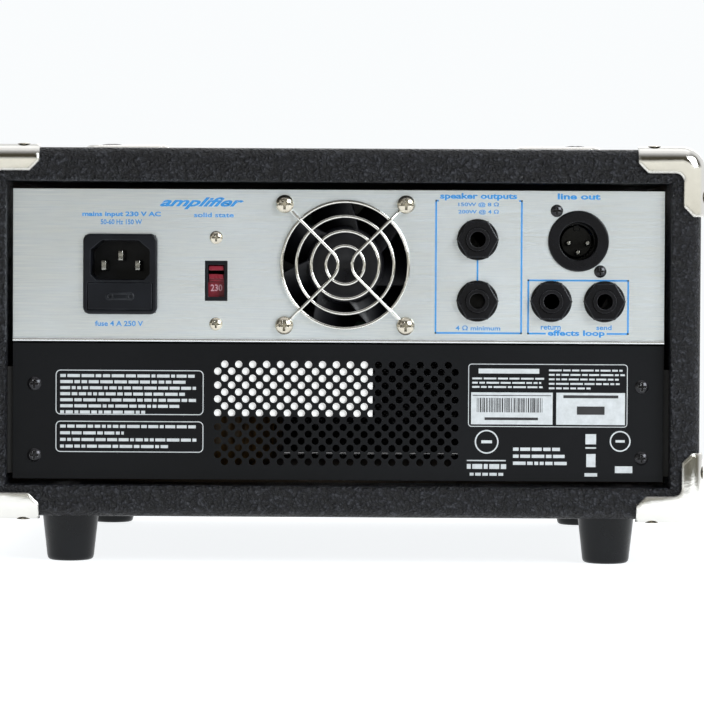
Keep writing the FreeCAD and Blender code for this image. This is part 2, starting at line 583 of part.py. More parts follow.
def fan():
    """A 60 mm axial fan behind the panel, with a wire guard outside it."""
    corners_xz = [(f"fan_x{a}fan_screw", f"fan_z{b}fan_screw") for a in "-+" for b in "-+"]
    centre = ("fan_x", "fan_z")
    back = f"({BEHIND} + fan_deep)"
    frame = doc.addObject("PartDesign::Body", "fan_box")
    half = "fan_side / 2"
    edge = rectangle(f"fan_x - {half}", f"fan_x + {half}", f"fan_z - {half}", f"fan_z + {half}")
    holes = [(x, z, "2.15") for x, z in corners_xz]
    slab(frame, (BEHIND, back), edge, circles=holes + [("fan_x", "fan_z", "fan_bore")])
    soften(frame, "Fillet", "4", lambda item: item.YLength > 20 and item.XLength < 0.01)
    base = rod("fan_base", "y", "hub_round - 1", centre, (f"{back} - 3", back))
    arms = [box(f"fan_arm{n}", (f"fan_x - {x}", f"fan_x + {x}"), (f"{back} - 3", back), (f"fan_z - {z}", f"fan_z + {z}"))
            for n, (x, z) in enumerate((("fan_bore - 0.01", "2"), ("2", "fan_bore - 0.01")), start=1)]
    bearing = rod("fan_bearing", "y", "3.6", centre, (f"{back} - 17", f"{back} - 3"))
    bore = rod("fan_shaft_bore", "y", "1.55", centre, (f"{back} - 18", f"{back} - 1"))
    keep(cut("fan_shell", fuse("fan_body", frame, base, *arms, bearing), bore), "fan_frame")

    nose = f"{BEHIND} + 1.2"
    hub = tube("fan_hub", "y", "hub_round", "hub_round - 1.5", centre, (nose, f"{back} - 4.5"))
    cover = rod("fan_cover", "y", "hub_round - 1", centre, (nose, f"{nose} + 1.5"))
    shaft = rod("fan_shaft", "y", "1.5", centre, (f"{nose} + 1", f"{back} - 2"))
    blades = []
    for number in range(7):
        blade = doc.addObject("Part::Box", f"fan_blade{number}")
        bind(blade, Length="blade_tip - hub_round + 3", Width="20", Height="1.2")
        turn = FreeCAD.Rotation(V(0, 1, 0), 360 / 7 * number)
        tilt = FreeCAD.Rotation(V(1, 0, 0), 38)
        root = turn.multVec(V(float(dims.get("hub_round")) - 1, 0, 0) - tilt.multVec(V(0, 10, 0.6)))
        move(blade, f"fan_x + {root.x:.6f}", f"{BEHIND} + 10.2 + {root.y:.6f}", f"fan_z + {root.z:.6f}",
             turn.multiply(tilt))
        blades.append(blade)
    sweep = tube("fan_sweep", "y", "blade_tip", "hub_round - 0.7", centre, (nose, f"{back} - 4.5"))
    vanes = meet("fan_vanes", fuse("fan_blades", *blades), sweep)
    keep(fuse("fan_wheel", hub, cover, shaft, vanes), "fan_impeller")

    keep(guard(), "fan_guard")
    one = screw("fan_screw_one", "3.75", "2.2", "2", "31")
    screws = copies("all_fan_screws", one, [(x, f"{PANEL} - 2 * wire", z) for x, z in corners_xz], TO_REAR)
    nuts = [cut(f"fan_nut{n}", hexagon(f"fan_nut_blank{n}", "3.5", place, (back, f"{back} + 2.6")),
                rod(f"fan_nut_hole{n}", "y", "2.05", place, (f"{back} - 1", f"{back} + 3")))
            for n, place in enumerate(corners_xz, start=1)]
    keep(group("fan_fixings", screws, *nuts), "fan_screws")


def bent_wire(points, radii):
    """A path of straight runs joined by tangent arcs, one radius for each inner point."""
    edges = []
    start = points[0]
    for before, corner, after, radius in zip(points, points[1:], points[2:], radii):
        back = (before - corner).normalize()
        ahead = (after - corner).normalize()
        half = back.getAngle(ahead) / 2
        trim = radius / math.tan(half)
        middle = corner + (back + ahead).normalize() * (radius / math.sin(half) - radius)
        edges.append(Part.LineSegment(start, corner + back * trim).toShape())
        edges.append(Part.Arc(corner + back * trim, middle, corner + ahead * trim).toShape())
        start = corner + ahead * trim
    edges.append(Part.LineSegment(start, points[-1]).toShape())
    return Part.Wire(edges)


def guard():
    """Four wire rings carried by two bent wires that end in loops under the fan screws."""
    read = {word: float(dims.get(word)) for word in SIZES}
    wire = read["wire"]
    face = -read["cab_deep"] / 2 + read["rear_recess"]
    rings_y = face - 1.2
    wires_y = rings_y - 1.9 * wire
    middle = V(read["fan_x"], 0, read["fan_z"])
    shapes = []
    for number in range(4):
        radius = read["ring_first"] + number * read["ring_step"]
        at = middle + V(0, rings_y, 0)
        shapes.append(Part.makeTorus(radius, wire, at, V(0, 1, 0)))
    reach = read["fan_screw"]
    eye = 2 + wire + 0.05
    for side in (-1, 1):
        for level in (-1, 1):
            at = middle + V(side * reach, face - wire, level * reach)
            shapes.append(Part.makeTorus(eye, wire, at, V(0, 1, 0)))
        start = reach - eye / 2 ** 0.5
        stops = ((start, face - wire), (start - 1.4, face - wire), (start - 4.2, wires_y))
        upper, lower = [[middle + V(side * out, y, level * out) for out, y in stops] for level in (1, -1)]
        corners_of_wire = upper + [middle + V(0, wires_y, 0)] + lower[::-1]
        path = bent_wire(corners_of_wire, (3, 3, read["wire_bend"], 3, 3))
        section = Part.Wire(Part.makeCircle(wire, upper[0], upper[1] - upper[0]))
        shapes.append(path.makePipeShell([section], True, True))
    welded = doc.addObject("Part::Feature", "guard_wires")
    welded.Shape = shapes[0].multiFuse(shapes[1:])
    return welded


# ---------------------------------------------------------------- mains inlet and voltage selector

def inlet():
    """An inlet with a fuse drawer below its socket; the drawer pulls straight out."""
    front = f"({PANEL} - bezel_out)"
    back = f"({PANEL} + inlet_deep)"
    body = doc.addObject("PartDesign::Body", "inlet_case")
    half = ("inlet_wide / 2", "inlet_tall / 2")
    slab(body, (front, PANEL), rectangle(f"inlet_x - {half[0]}", f"inlet_x + {half[0]}",
                                         f"inlet_z - {half[1]}", f"inlet_z + {half[1]}"))
    soften(body, "Fillet", "bezel_round", lambda edge: edge.YLength > 1)
    rim = float(dims.get("rear_recess")) - float(dims.get("cab_deep")) / 2 - float(dims.get("bezel_out"))
    soften(body, "Fillet", "1", lambda edge: edge.YMax < rim + 0.01)
    slab(body, (PANEL, back), rectangle(f"inlet_x - {half[0]} + 0.8", f"inlet_x + {half[0]} - 0.8",
                                        f"inlet_z - {half[1]} + 0.8", f"inlet_z + {half[1]} - 0.8"))
    socket = doc.addObject("PartDesign::Body", "inlet_socket")
    left, right = "inlet_x - socket_wide / 2", "inlet_x + socket_wide / 2"
    low, high = "socket_z - socket_tall / 2", "socket_z + socket_tall / 2"
    slab(socket, (f"{front} - 1", f"{front} + socket_deep"), [
        (f"{left} + 2.3", low), (f"{right} - 2.3", low), (right, f"{low} + 2.3"), (right, f"{high} - 3.9"),
        (f"{right} - socket_slant", high), (f"{left} + socket_slant", high), (left, f"{high} - 3.9"),
        (left, f"{low} + 2.3")])
    rebate = box("inlet_rebate", ("inlet_x - drawer_wide / 2 - 0.2", "inlet_x + drawer_wide / 2 + 0.2"),
                 (f"{front} - 1", f"{front} + 1.8"), ("fuse_z - drawer_tall / 2 - 0.2", "fuse_z + drawer_tall / 2 + 0.2"))
    pocket = box("inlet_pocket", ("inlet_x - tray_wide / 2 - 0.25", "inlet_x + tray_wide / 2 + 0.25"),
                 (front, f"{front} + tray_deep + 3"), ("fuse_z - tray_tall / 2 - 0.25", "fuse_z + tray_tall / 2 + 0.25"))
    spots = [("inlet_x - pin_pitch", "socket_z - 2.1"), ("inlet_x + pin_pitch", "socket_z - 2.1"),
             ("inlet_x", "socket_z + 1.9")]
    pins = [box(f"inlet_pin{n}", (f"{x} - 1", f"{x} + 1"), (f"{front} + 3", f"{back} + 6"), (f"{z} - 2", f"{z} + 2"))
            for n, (x, z) in enumerate(spots, start=1)]
    keep(cut("inlet_body", body, fuse("inlet_rooms", socket, rebate, pocket), group("inlet_pin_slots", *pins)),
         "mains_inlet_body")
    keep(group("inlet_pins", *pins), "mains_inlet_pins")

    plate = box("drawer_plate", ("inlet_x - drawer_wide / 2", "inlet_x + drawer_wide / 2"),
                (f"{front} - 0.3", f"{front} + 1.6"), ("fuse_z - drawer_tall / 2", "fuse_z + drawer_tall / 2"))
    tray = box("drawer_tray", ("inlet_x - tray_wide / 2", "inlet_x + tray_wide / 2"),
               (f"{front} + 1.5", f"{front} + tray_deep + 1.6"), ("fuse_z - tray_tall / 2", "fuse_z + tray_tall / 2"))
    cradle_y = (f"{front} + tray_deep - 7.4", f"{front} + tray_deep")
    cradle = box("drawer_cradle", ("inlet_x - 10.3", "inlet_x + 10.3"), cradle_y,
                 ("fuse_z - 3.2", "fuse_z + tray_tall / 2 + 1"))
    store = box("drawer_hollow", ("inlet_x - 10.3", "inlet_x + 10.3"), (f"{front} + 3", f"{front} + tray_deep - 8.6"),
                ("fuse_z - 3.2", "fuse_z + tray_tall / 2 + 1"))
    keep(cut("drawer_open", fuse("drawer_blank", plate, tray), fuse("drawer_rooms", cradle, store)), "fuse_drawer")
    along = (f"{front} + tray_deep - 3.7", "fuse_z - 0.5")
    glass = rod("fuse_glass", "x", "2.5", along, ("inlet_x - 5", "inlet_x + 5"))
    caps = [rod(f"fuse_cap{n}", "x", "2.6", along, span)
            for n, span in enumerate((("inlet_x - 10", "inlet_x - 5"), ("inlet_x + 5", "inlet_x + 10")), start=1)]
    keep(group("fuse_link", glass, *caps), "fuse")


def selector():
    """A two-position slide switch seen through a window in its black boss."""
    x, z = "selector_x", "selector_z"
    boss = box("selector_boss", (f"{x} - boss_wide / 2", f"{x} + boss_wide / 2"), (f"{PANEL} + 0.2", BEHIND),
               (f"{z} - boss_tall / 2", f"{z} + boss_tall / 2"))
    ears = box("selector_ears", (f"{x} - 6.5", f"{x} + 6.5"), (BEHIND, f"{BEHIND} + 1"), (f"{z} - 21.5", f"{z} + 21.5"))
    case = box("selector_case", (f"{x} - 6.5", f"{x} + 6.5"), (f"{BEHIND} + 0.9", f"{BEHIND} + 11"),
               (f"{z} - 15.6", f"{z} + 15.6"))
    window = box("selector_window", (f"{x} - view_wide / 2", f"{x} + view_wide / 2"), (PANEL, f"{BEHIND} + 1"),
                 (f"{z} - view_tall / 2", f"{z} + view_tall / 2"))
    track = box("selector_track", (f"{x} - 4.6", f"{x} + 4.6"), (f"{PANEL} + 1.6", f"{PANEL} + 4.1"),
                (f"{z} - view_tall / 2 - slider_travel - 1", f"{z} + view_tall / 2 + slider_travel + 1"))
    track_limit = box("selector_track_limit", (f"{x} - 6", f"{x} + 6"), (f"{BEHIND} + 0.2", f"{PANEL} + 4.1"),
                      (f"{z} - 20", f"{z} + 20"))
    channel = fuse("selector_channel", meet("selector_run", track, track_limit), window)
    eyes = [rod(f"selector_eye{n}", "y", "1.35", (x, f"{z}{sign}selector_screw"), (BEHIND, f"{BEHIND} + 2"))
            for n, sign in enumerate("-+", start=1)]
    body = fuse("selector_blank", boss, ears, case)
    keep(cut("selector_open", body, channel, *eyes), "voltage_selector_body")

    plate = box("slider_plate", (f"{x} - 4.4", f"{x} + 4.4"), (f"{BEHIND} + 0.3", f"{PANEL} + 4"),
                (f"{z} - view_tall / 2 - 0.6", f"{z} + view_tall / 2 + slider_travel + 0.6"))
    face = box("slider_face", (f"{x} - view_wide / 2 + 0.2", f"{x} + view_wide / 2 - 0.2"),
               (f"{PANEL} + 2", f"{PANEL} + 3"), (f"{z} - 0.2", f"{z} + view_tall / 2 - 0.2"))
    ridges = [box(f"slider_ridge{n}", (f"{x} - view_wide / 2 + 0.3", f"{x} + view_wide / 2 - 0.3"),
                  (f"{PANEL} + 1", f"{PANEL} + 2.1"), (f"{z} + {low}", f"{z} + {low} + 1.7"))
              for n, low in enumerate(("4.4", "0.9"), start=1)]
    keep(fuse("slider", plate, face, *ridges), "voltage_selector_slider")
    one = screw("selector_screw_one", "2.7", "1.5", "1.3", "6")
    places = [(x, PANEL, f"{z}{sign}selector_screw") for sign in "-+"]
    keep(copies("all_selector_screws", one, places, TO_REAR), "voltage_selector_screws")


# ---------------------------------------------------------------- line output and jacks

def line_output():
    """A male three-pin connector mounted from behind, with its round collar through the panel."""
    centre = ("xlr_x", "xlr_z")
    collar = doc.addObject("PartDesign::Body", "xlr_body")
    slab(collar, (f"{PANEL} - 1", f"{BEHIND} + 1.5"), [], circles=[("xlr_x", "xlr_z", "xlr_collar")])
    soften(collar, "Fillet", "0.6", lambda edge: edge.YMax < -float(dims.get("cab_deep")) / 2 + 6)
    plate = box("xlr_plate", ("xlr_x - 13", "xlr_x + 13"), (BEHIND, f"{BEHIND} + 1.5"), ("xlr_z - 15.8", "xlr_z + 15.8"))
    can = rod("xlr_can", "y", "10.5", centre, (f"{BEHIND} + 1.4", f"{BEHIND} + 18"))
    mouth = rod("xlr_mouth", "y", "xlr_mouth", centre, (f"{PANEL} - 2", f"{PANEL} + 15"))
    seat = rod("xlr_seat", "y", "xlr_mouth - 0.8", centre, (f"{PANEL} + 14", f"{BEHIND} + 19"))
    eyes = [rod(f"xlr_eye{n}", "y", "1.35", (f"xlr_x{a}xlr_screw_x", f"xlr_z{b}xlr_screw_z"),
                (BEHIND, f"{BEHIND} + 2")) for n, (a, b) in enumerate(("-+", "+-"), start=1)]
    keep(cut("xlr_open", fuse("xlr_blank", collar, plate, can), mouth, seat, *eyes), "xlr_shell")
    spots = [("xlr_x - 3.9", "xlr_z - 0.7"), ("xlr_x + 3.9", "xlr_z - 0.7"), ("xlr_x", "xlr_z - 4.6")]
    holes = [rod(f"xlr_pin{n}", "y", "1.2", spot, (f"{PANEL} + 2.5", f"{BEHIND} + 22"))
             for n, spot in enumerate(spots, start=1)]
    disc = rod("xlr_disc", "y", "xlr_mouth - 0.85", centre, (f"{PANEL} + 15", f"{BEHIND} + 18"))
    insert = cut("xlr_insert", disc, *holes)
    keep(group("xlr_contacts", insert, *holes), "xlr_pins")
    one = screw("xlr_screw_one", "2.55", "1.3", "1.3", "6")
    places = [(f"xlr_x{a}xlr_screw_x", PANEL, f"xlr_z{b}xlr_screw_z") for a, b in ("-+", "+-")]
    keep(copies("all_xlr_screws", one, places, TO_REAR), "xlr_screws")


def jack(name, x, z):
    """A quarter-inch jack drawn facing the rear, its shoulder against the inside of the chassis."""
    body = box(f"{name}_case", (f"{x} - 8", f"{x} + 8"), (BEHIND, f"{BEHIND} + 29"), (f"{z} - 8", f"{z} + 8"))
    bush = rod(f"{name}_bush", "y", "bush_round", (x, z), (f"{PANEL} - 4.4", f"{BEHIND} + 0.01"))
    bore = rod(f"{name}_bore", "y", "plug_bore", (x, z), (f"{PANEL} - 5", f"{PANEL} - 4.4 + bore_long"))
    return cut(name, fuse(f"{name}_blank", body, bush), bore)


def nut(name, x, z, face, outward):
    """A flanged nut against a panel face; outward is the sign of the way it stands out."""
    def span(low, high):
        ends = [f"{face} {outward} {low}", f"{face} {outward} {high}"]
        return ends if outward == "+" else ends[::-1]
    flange = rod(f"{name}_flange", "y", "nut_flange", (x, z), span(0, 1.1))
    prism = hexagon(f"{name}_hexagon", "nut_flats", (x, z), span(1, 3.6))
    hole = rod(f"{name}_hole", "y", "bush_round + 0.05", (x, z), span(-1, 5))
    return cut(name, fuse(f"{name}_blank", flange, prism), hole)


def jacks():
    names = ("speaker_jack_upper", "speaker_jack_lower", "return_jack", "send_jack")
    nuts = []
    for name, (x, z) in zip(names, jack_places()):
        keep(jack(name + "_made", x, z), name)
        nuts.append(nut(name + "_nut", x, z, PANEL, "-"))
    face = CONTROL
    body = box("input_case", ("input_x - 8", "input_x + 8"), (f"{FRONT_INNER} - 29", FRONT_INNER),
               ("control_z - 8", "control_z + 8"))
    bush = rod("input_bush", "y", "bush_round", ("input_x", "control_z"), (f"{FRONT_INNER} - 0.01", f"{face} + 4.4"))
    bore = rod("input_bore", "y", "plug_bore", ("input_x", "control_z"), (f"{face} + 4.4 - bore_long", f"{face} + 5"))
    keep(cut("input_made", fuse("input_blank", body, bush), bore), "input_jack")
    nuts.append(nut("input_nut", "input_x", "control_z", face, "+"))
    keep(group("all_jack_nuts", *nuts), "jack_nuts")


# ---------------------------------------------------------------- front

def controls():
    """The control panel with its knobs, push switch, lamp and power rocker."""
    face = doc.addObject("PartDesign::Body", "control_face")
    half = "upper_wide / 2"
    slab(face, (f"{CONTROL} - face_thick", CONTROL), rectangle(f"-{half}", half, "upper_low + 1.5", "upper_high"),
         power_hole("0"), circles=control_circles("0"))
    keep(face, "front_control_panel")
    pots = []
    for name, x in zip(("gain", "bass", "middle", "treble", "volume"), knob_places()):
        centre = (x, "control_z")
        case = rod(f"{name}_case", "y", "8", centre, (f"{FRONT_INNER} - 9", FRONT_INNER))
        bush = rod(f"{name}_bush", "y", "3.5", centre, (f"{FRONT_INNER} - 0.01", f"{CONTROL} + 4"))
        ring = hexagon(f"{name}_ring", "5", centre, (CONTROL, f"{CONTROL} + 2"))
        room = rod(f"{name}_room", "y", "shaft_round + 0.05", centre, (f"{FRONT_INNER} - 8", f"{CONTROL} + 6"))
        pots.append(cut(f"{name}_pot", fuse(f"{name}_pot_blank", case, bush, ring), room))
        shaft = rod(f"{name}_shaft", "y", "shaft_round", centre, (f"{FRONT_INNER} - 7.5", f"{CONTROL} + 13"))
        knob = spun(f"{name}_turning", [
            ("shaft_round + 0.02", "13.2"), ("0", "13.2"), ("0", "16"), ("knob_top - 1", "16"), ("knob_top", "15"),
            ("knob_top + 0.4", "4.5"), ("knob_skirt", "3"), ("knob_skirt", "1.2"), ("6.4", "1.2"), ("6.4", "5"),
            ("shaft_round + 0.02", "5")])
        move(knob, x, CONTROL, "control_z", TO_FRONT)
        mark = box(f"{name}_mark", (f"{x} - 0.6", f"{x} + 0.6"), (f"{CONTROL} + 15.4", f"{CONTROL} + 17"),
                   ("control_z + 1", "control_z + knob_top + 2"))
        keep(group(f"{name}_knob_parts", cut(f"{name}_marked", knob, mark), shaft), f"{name}_knob")
    keep(group("pots", *pots), "potentiometers")

    centre = ("pad_x", "control_z")
    case = box("pad_case", ("pad_x - 6.5", "pad_x + 6.5"), (f"{FRONT_INNER} - 14", FRONT_INNER),
               ("control_z - 6.5", "control_z + 6.5"))
    keep(cut("pad_switch", case, rod("pad_room", "y", "4.1", centre, (f"{FRONT_INNER} - 10", f"{CONTROL} + 1"))),
         "pad_switch_body")
    keep(rod("pad_cap", "y", "4", centre, (f"{FRONT_INNER} - 7", f"{CONTROL} + 5")), "pad_button")
    lens = rod("lamp_barrel", "y", "3", ("lamp_x", "control_z"), (f"{FRONT_INNER} - 5", f"{CONTROL} + 1"))
    dome = bind(doc.addObject("Part::Sphere", "lamp_dome"), Radius="3")
    move(dome, "lamp_x", f"{CONTROL} + 1", "control_z")
    keep(fuse("lamp", lens, dome), "indicator_lamp")
    rocker()


def rocker():
    """The power switch: a drum that tips about X inside its housing, with a shallow V across its face."""
    centre = (f"{CONTROL} - 1", "control_z")
    reach = "rocker_long / 2"
    bezel = box("power_bezel", ("power_x - 10.5", "power_x + 10.5"), (CONTROL, f"{CONTROL} + 1.8"),
                ("control_z - 11", "control_z + 11"))
    case = box("power_case", ("power_x - 8.8", "power_x + 8.8"), (f"{CONTROL} - 16", CONTROL),
               ("control_z - 9.3", "control_z + 9.3"))
    room = rod("power_room", "x", "rocker_round + 0.2", centre, (f"power_x - {reach} - 0.2", f"power_x + {reach} + 0.2"))
    mouth = box("power_mouth", (f"power_x - {reach} - 0.2", f"power_x + {reach} + 0.2"), (f"{CONTROL} - 1", f"{CONTROL} + 3"),
                ("control_z - rocker_round - 0.2", "control_z + rocker_round + 0.2"))
    keep(cut("power_housing", fuse("power_blank", bezel, case), fuse("power_rooms", room, mouth)),
         "power_switch_housing")
    drum = rod("rocker_drum", "x", "rocker_round", centre, (f"power_x - {reach}", f"power_x + {reach}"))
    notch = doc.addObject("PartDesign::Body", "rocker_notch")
    drawing = sketch(notch, "YZ_Plane", "power_x - 20")
    face = f"{CONTROL} + 2"
    outline(drawing, [(face, "control_z"), (face, "control_z + 9"), (f"{face} + 9", "control_z + 9"),
                      (f"{face} + 9", "control_z - 9"), (f"{face} + 3.6", "control_z - 9")])
    pad = notch.newObject("PartDesign::Pad", "rocker_notch_pad")
    pad.Profile = drawing
    bind(pad, Length="40")
    doc.recompute()
    keep(cut("rocker_face", drum, notch), "power_rocker")


def grille():
    """A frame of four bars below the control panel, with cloth stretched over its face."""
    low, high = "grille_low", "grille_high"
    y = ("grille_face - 9", "grille_face")
    half = "grille_half"
    bars = [box("grille_bottom", (f"-{half}", half), y, (low, f"{low} + grille_bar * 0.7")),
            box("grille_top", (f"-{half}", half), y, (f"{high} - grille_bar * 0.7", high)),
            box("grille_left", (f"-{half}", f"-{half} + grille_bar"), y,
                (f"{low} + grille_bar * 0.7", f"{high} - grille_bar * 0.7")),
            box("grille_right", (f"{half} - grille_bar", half), y,
                (f"{low} + grille_bar * 0.7", f"{high} - grille_bar * 0.7"))]
    keep(group("grille_bars", *bars), "grille_frame")
    keep(box("grille_sheet", (f"-{half}", half), (y[1], f"{y[1]} + 1"), (low, high)), "grille_cloth")


# ---------------------------------------------------------------- inside

def electronics():
    """The transformer on the cabinet floor, and the boards and heat sink on the tray."""
    base = PLY_FLOOR
    coil = spun("coil", [("coil_in", "1.5"), ("coil_out", "1.5"), ("coil_out", "1.5 + coil_tall"),
                         ("coil_in", "1.5 + coil_tall")])
    soften(coil, "Fillet", "11", lambda edge: edge.XLength > 60)
    soften(coil, "Fillet", "4", lambda edge: 20 < edge.XLength < 60)
    keep(move(coil, "coil_x", "coil_y", base), "toroidal_transformer")
    centre = ("coil_x", "coil_y")
    top = f"{base} + 1.5 + coil_tall"
    washer = tube("coil_washer", "z", "22", "3.1", centre, (top, f"{top} + 1.5"))
    one = screw("coil_bolt", "6", "4", "3", "49")
    bolt = copies("coil_bolts", one, [("coil_x", "coil_y", f"{top} + 1.5")])
    pad = tube("coil_pad", "z", "40", "3.1", centre, (base, f"{base} + 1.5"))
    keep(group("coil_fixings", washer, bolt, pad), "transformer_bolt")

    floor = "upper_low + 0.15 + steel"
    board = box("power_board", ("board_x - board_half", "board_x + board_half"), ("-board_reach", "board_reach"),
                ("board_z", "board_z + 1.6"))
    spots = [(x, y) for x in ("board_x - board_half + 6", "board_x + board_half - 6") for y in mirrored("board_reach - 6")]
    pillars = [rod(f"board_pillar{n}", "z", "3", spot, (floor, "board_z")) for n, spot in enumerate(spots, start=1)]
    keep(group("board_parts", board, *pillars), "main_circuit_board")
    cans = [rod(f"capacitor{n}", "z", "11", (f"board_x - 45 + {26 * n}", "-30"), ("board_z + 1.6", "board_z + 37"))
            for n in range(4)]
    keep(group("capacitors", *cans), "filter_capacitors")

    sink = doc.addObject("PartDesign::Body", "sink")
    slab(sink, ("-60", "60"), rectangle("-122", "-34", floor, f"{floor} + 5"))
    for number in range(9):
        low = f"-121 + {10.5 * number}"
        slab(sink, ("-60", "60"), rectangle(low, f"{low} + 2", f"{floor} + 5", f"{floor} + 38"))
    keep(sink, "heat_sink")
    keep(box("preamp", ("-preamp_half", "preamp_half"), (f"{FRONT_INNER} - 14", f"{FRONT_INNER} - 12.4"),
             ("preamp_low", "preamp_high")),
         "control_board")


def build():
    corner_pilots = corners()
    foot_pilots = feet()
    handle_pilots = handle()
    coil_pilot = rod("coil_pilot", "z", "3.05", ("coil_x", "coil_y"), (CAB_LOW, f"{CAB_LOW} + 42"))
    cabinet(group("pilots", corner_pilots, foot_pilots, handle_pilots, coil_pilot))
    chassis()
    fan()
    inlet()
    selector()
    line_output()
    jacks()
    controls()
    grille()
    electronics()
    doc.recompute()


def check_and_export():
    """Stops on any failed object, then writes one file for each sub-part."""
    for thing in doc.Objects:
        if "Invalid" in thing.State or "Error" in thing.State:
            raise RuntimeError(f"{thing.Name} failed: {thing.State}")
    os.makedirs("parts", exist_ok=True)
    for thing in pieces:
        if thing.Shape.isNull() or not thing.Shape.isValid() or not thing.Shape.Solids:
            raise RuntimeError(f"{thing.Label} has no valid solid")
        thing.Shape.exportStep(f"parts/{thing.Label}.step")
        bounds = thing.Shape.BoundBox
        print(f"{thing.Label:26s} {len(thing.Shape.Solids):3d} solids  X {bounds.XMin:8.2f} {bounds.XMax:8.2f}"
              f"  Y {bounds.YMin:8.2f} {bounds.YMax:8.2f}  Z {bounds.ZMin:7.2f} {bounds.ZMax:7.2f}")
    print(len(pieces), "sub-parts")


build()
check_and_export()
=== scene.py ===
import math
import random

import bmesh
import bpy
from mathutils import Matrix, Vector


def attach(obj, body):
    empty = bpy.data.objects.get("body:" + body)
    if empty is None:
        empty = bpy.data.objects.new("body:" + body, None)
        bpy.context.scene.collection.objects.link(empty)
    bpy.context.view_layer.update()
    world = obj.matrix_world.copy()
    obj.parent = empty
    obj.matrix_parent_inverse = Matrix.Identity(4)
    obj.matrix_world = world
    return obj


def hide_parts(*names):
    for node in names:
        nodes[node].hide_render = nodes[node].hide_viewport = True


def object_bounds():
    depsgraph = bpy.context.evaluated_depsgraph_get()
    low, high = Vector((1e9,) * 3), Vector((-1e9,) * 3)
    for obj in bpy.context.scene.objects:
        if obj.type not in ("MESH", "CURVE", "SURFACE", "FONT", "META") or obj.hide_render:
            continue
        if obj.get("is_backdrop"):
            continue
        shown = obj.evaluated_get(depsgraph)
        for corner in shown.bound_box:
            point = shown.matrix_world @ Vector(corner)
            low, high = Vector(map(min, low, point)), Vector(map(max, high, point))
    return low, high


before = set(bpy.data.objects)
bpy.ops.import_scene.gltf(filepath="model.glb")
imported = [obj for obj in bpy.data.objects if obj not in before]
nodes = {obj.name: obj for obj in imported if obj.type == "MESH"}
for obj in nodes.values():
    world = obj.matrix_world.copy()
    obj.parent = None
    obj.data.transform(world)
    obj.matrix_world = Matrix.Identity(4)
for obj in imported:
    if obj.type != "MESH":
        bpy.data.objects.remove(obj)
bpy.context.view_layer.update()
MM = 0.001


# ---------------------------------------------------------------- view, floor and lamps
# A long lens a metre and a half behind the amplifier, a little above its middle and tipped down by
# under two degrees. The room is a pale glowing table under large soft lamps, with a darker gap between them.

lens_view = bpy.data.cameras.new("rear_view")
lens_view.sensor_width = 36
lens_view.lens = 163.09
camera = bpy.data.objects.new("rear_view", lens_view)
bpy.context.scene.collection.objects.link(camera)
CAMERA_PLACE = (22.22 * MM, -1435.44 * MM, 120.67 * MM)
SWING, TIP, ROLL = 0.0125, 0.0249, 0.0052
camera.matrix_world = (Matrix.Translation(CAMERA_PLACE) @ Matrix.Rotation(SWING, 4, "Z")
                       @ Matrix.Rotation(math.pi / 2 - TIP, 4, "X") @ Matrix.Rotation(ROLL, 4, "Z"))
bpy.context.scene.camera = camera
bpy.context.scene.view_settings.view_transform = "Standard"


def plug(made, *values, **named):
    """Sets a node's inputs, by place or by name, to numbers and colours, or links them to sockets."""
    for key, value in [*enumerate(values), *named.items()]:
        socket = made.inputs[key.replace("_", " ") if isinstance(key, str) else key]
        if isinstance(value, bpy.types.NodeSocket):
            made.id_data.links.new(value, socket)
        elif value is not None:
            socket.default_value = value


def node(tree, kind, *values, settings=None, **named):
    """Adds a shader node with its settings and its inputs."""
    made = tree.nodes.new("ShaderNode" + kind)
    for key, value in (settings or {}).items():
        setattr(made, key, value)
    plug(made, *values, **named)
    return made


def soften_between(tree, factor, first, second):
    """The socket of a colour mixed from two by a factor; a mix node takes its colours at places 6 and 7."""
    pair = [value if isinstance(value, bpy.types.NodeSocket) else (*value[:3], 1) for value in (first, second)]
    return node(tree, "Mix", factor, *[None] * 5, *pair, settings={"data_type": "RGBA"}).outputs[2]


def ranged(tree, value, low, high, start=0.0, end=1.0):
    """The socket of a value carried from one range to another."""
    return node(tree, "MapRange", value, start, end, low, high).outputs[0]


def ramp(tree, value, stops):
    """The colour socket of a ramp with (position, colour) stops."""
    made = node(tree, "ValToRGB", value)
    points = made.color_ramp.elements
    while len(points) < len(stops):
        points.new(0.5)
    for point, (position, colour) in zip(points, stops):
        point.position = position
        point.color = (*colour, 1)
    return made.outputs[0]


room = bpy.data.worlds.new("soft_room")
bpy.context.scene.world = room
room.use_nodes = True
tree = room.node_tree
tree.nodes.clear()
direction = node(tree, "TexCoord").outputs["Generated"]
split = node(tree, "SeparateXYZ", direction)
LAMP_STOPS = [(0.0, (0.26, 0.26, 0.24)), (0.40, (0.09, 0.092, 0.078)), (0.478, (0.13, 0.125, 0.10)),
              (0.494, (0.56, 0.55, 0.46)), (0.50, (0.82, 0.81, 0.73)), (0.562, (1.12, 1.12, 1.06)),
              (0.575, (0.05, 0.045, 0.03)), (0.84, (0.08, 0.072, 0.055)), (0.89, (0.42, 0.42, 0.42)),
              (1.0, (0.38, 0.38, 0.39))]
height = ranged(tree, split.outputs["Z"], 0.0, 1.0, -1.0, 1.0)
bands = ramp(tree, height, LAMP_STOPS)
behind = ranged(tree, split.outputs["Y"], 0.0, 1.0, -0.1, 0.25)
surround = soften_between(tree, behind, bands, (0.82, 0.83, 0.84))
lit = node(tree, "Background", surround, 1.0)
backdrop = node(tree, "Background", (0.955, 0.975, 0.985, 1), 1.0)
to_lens = node(tree, "LightPath").outputs["Is Camera Ray"]
seen = node(tree, "MixShader", to_lens, lit.outputs[0], backdrop.outputs[0])
node(tree, "OutputWorld", seen.outputs[0])


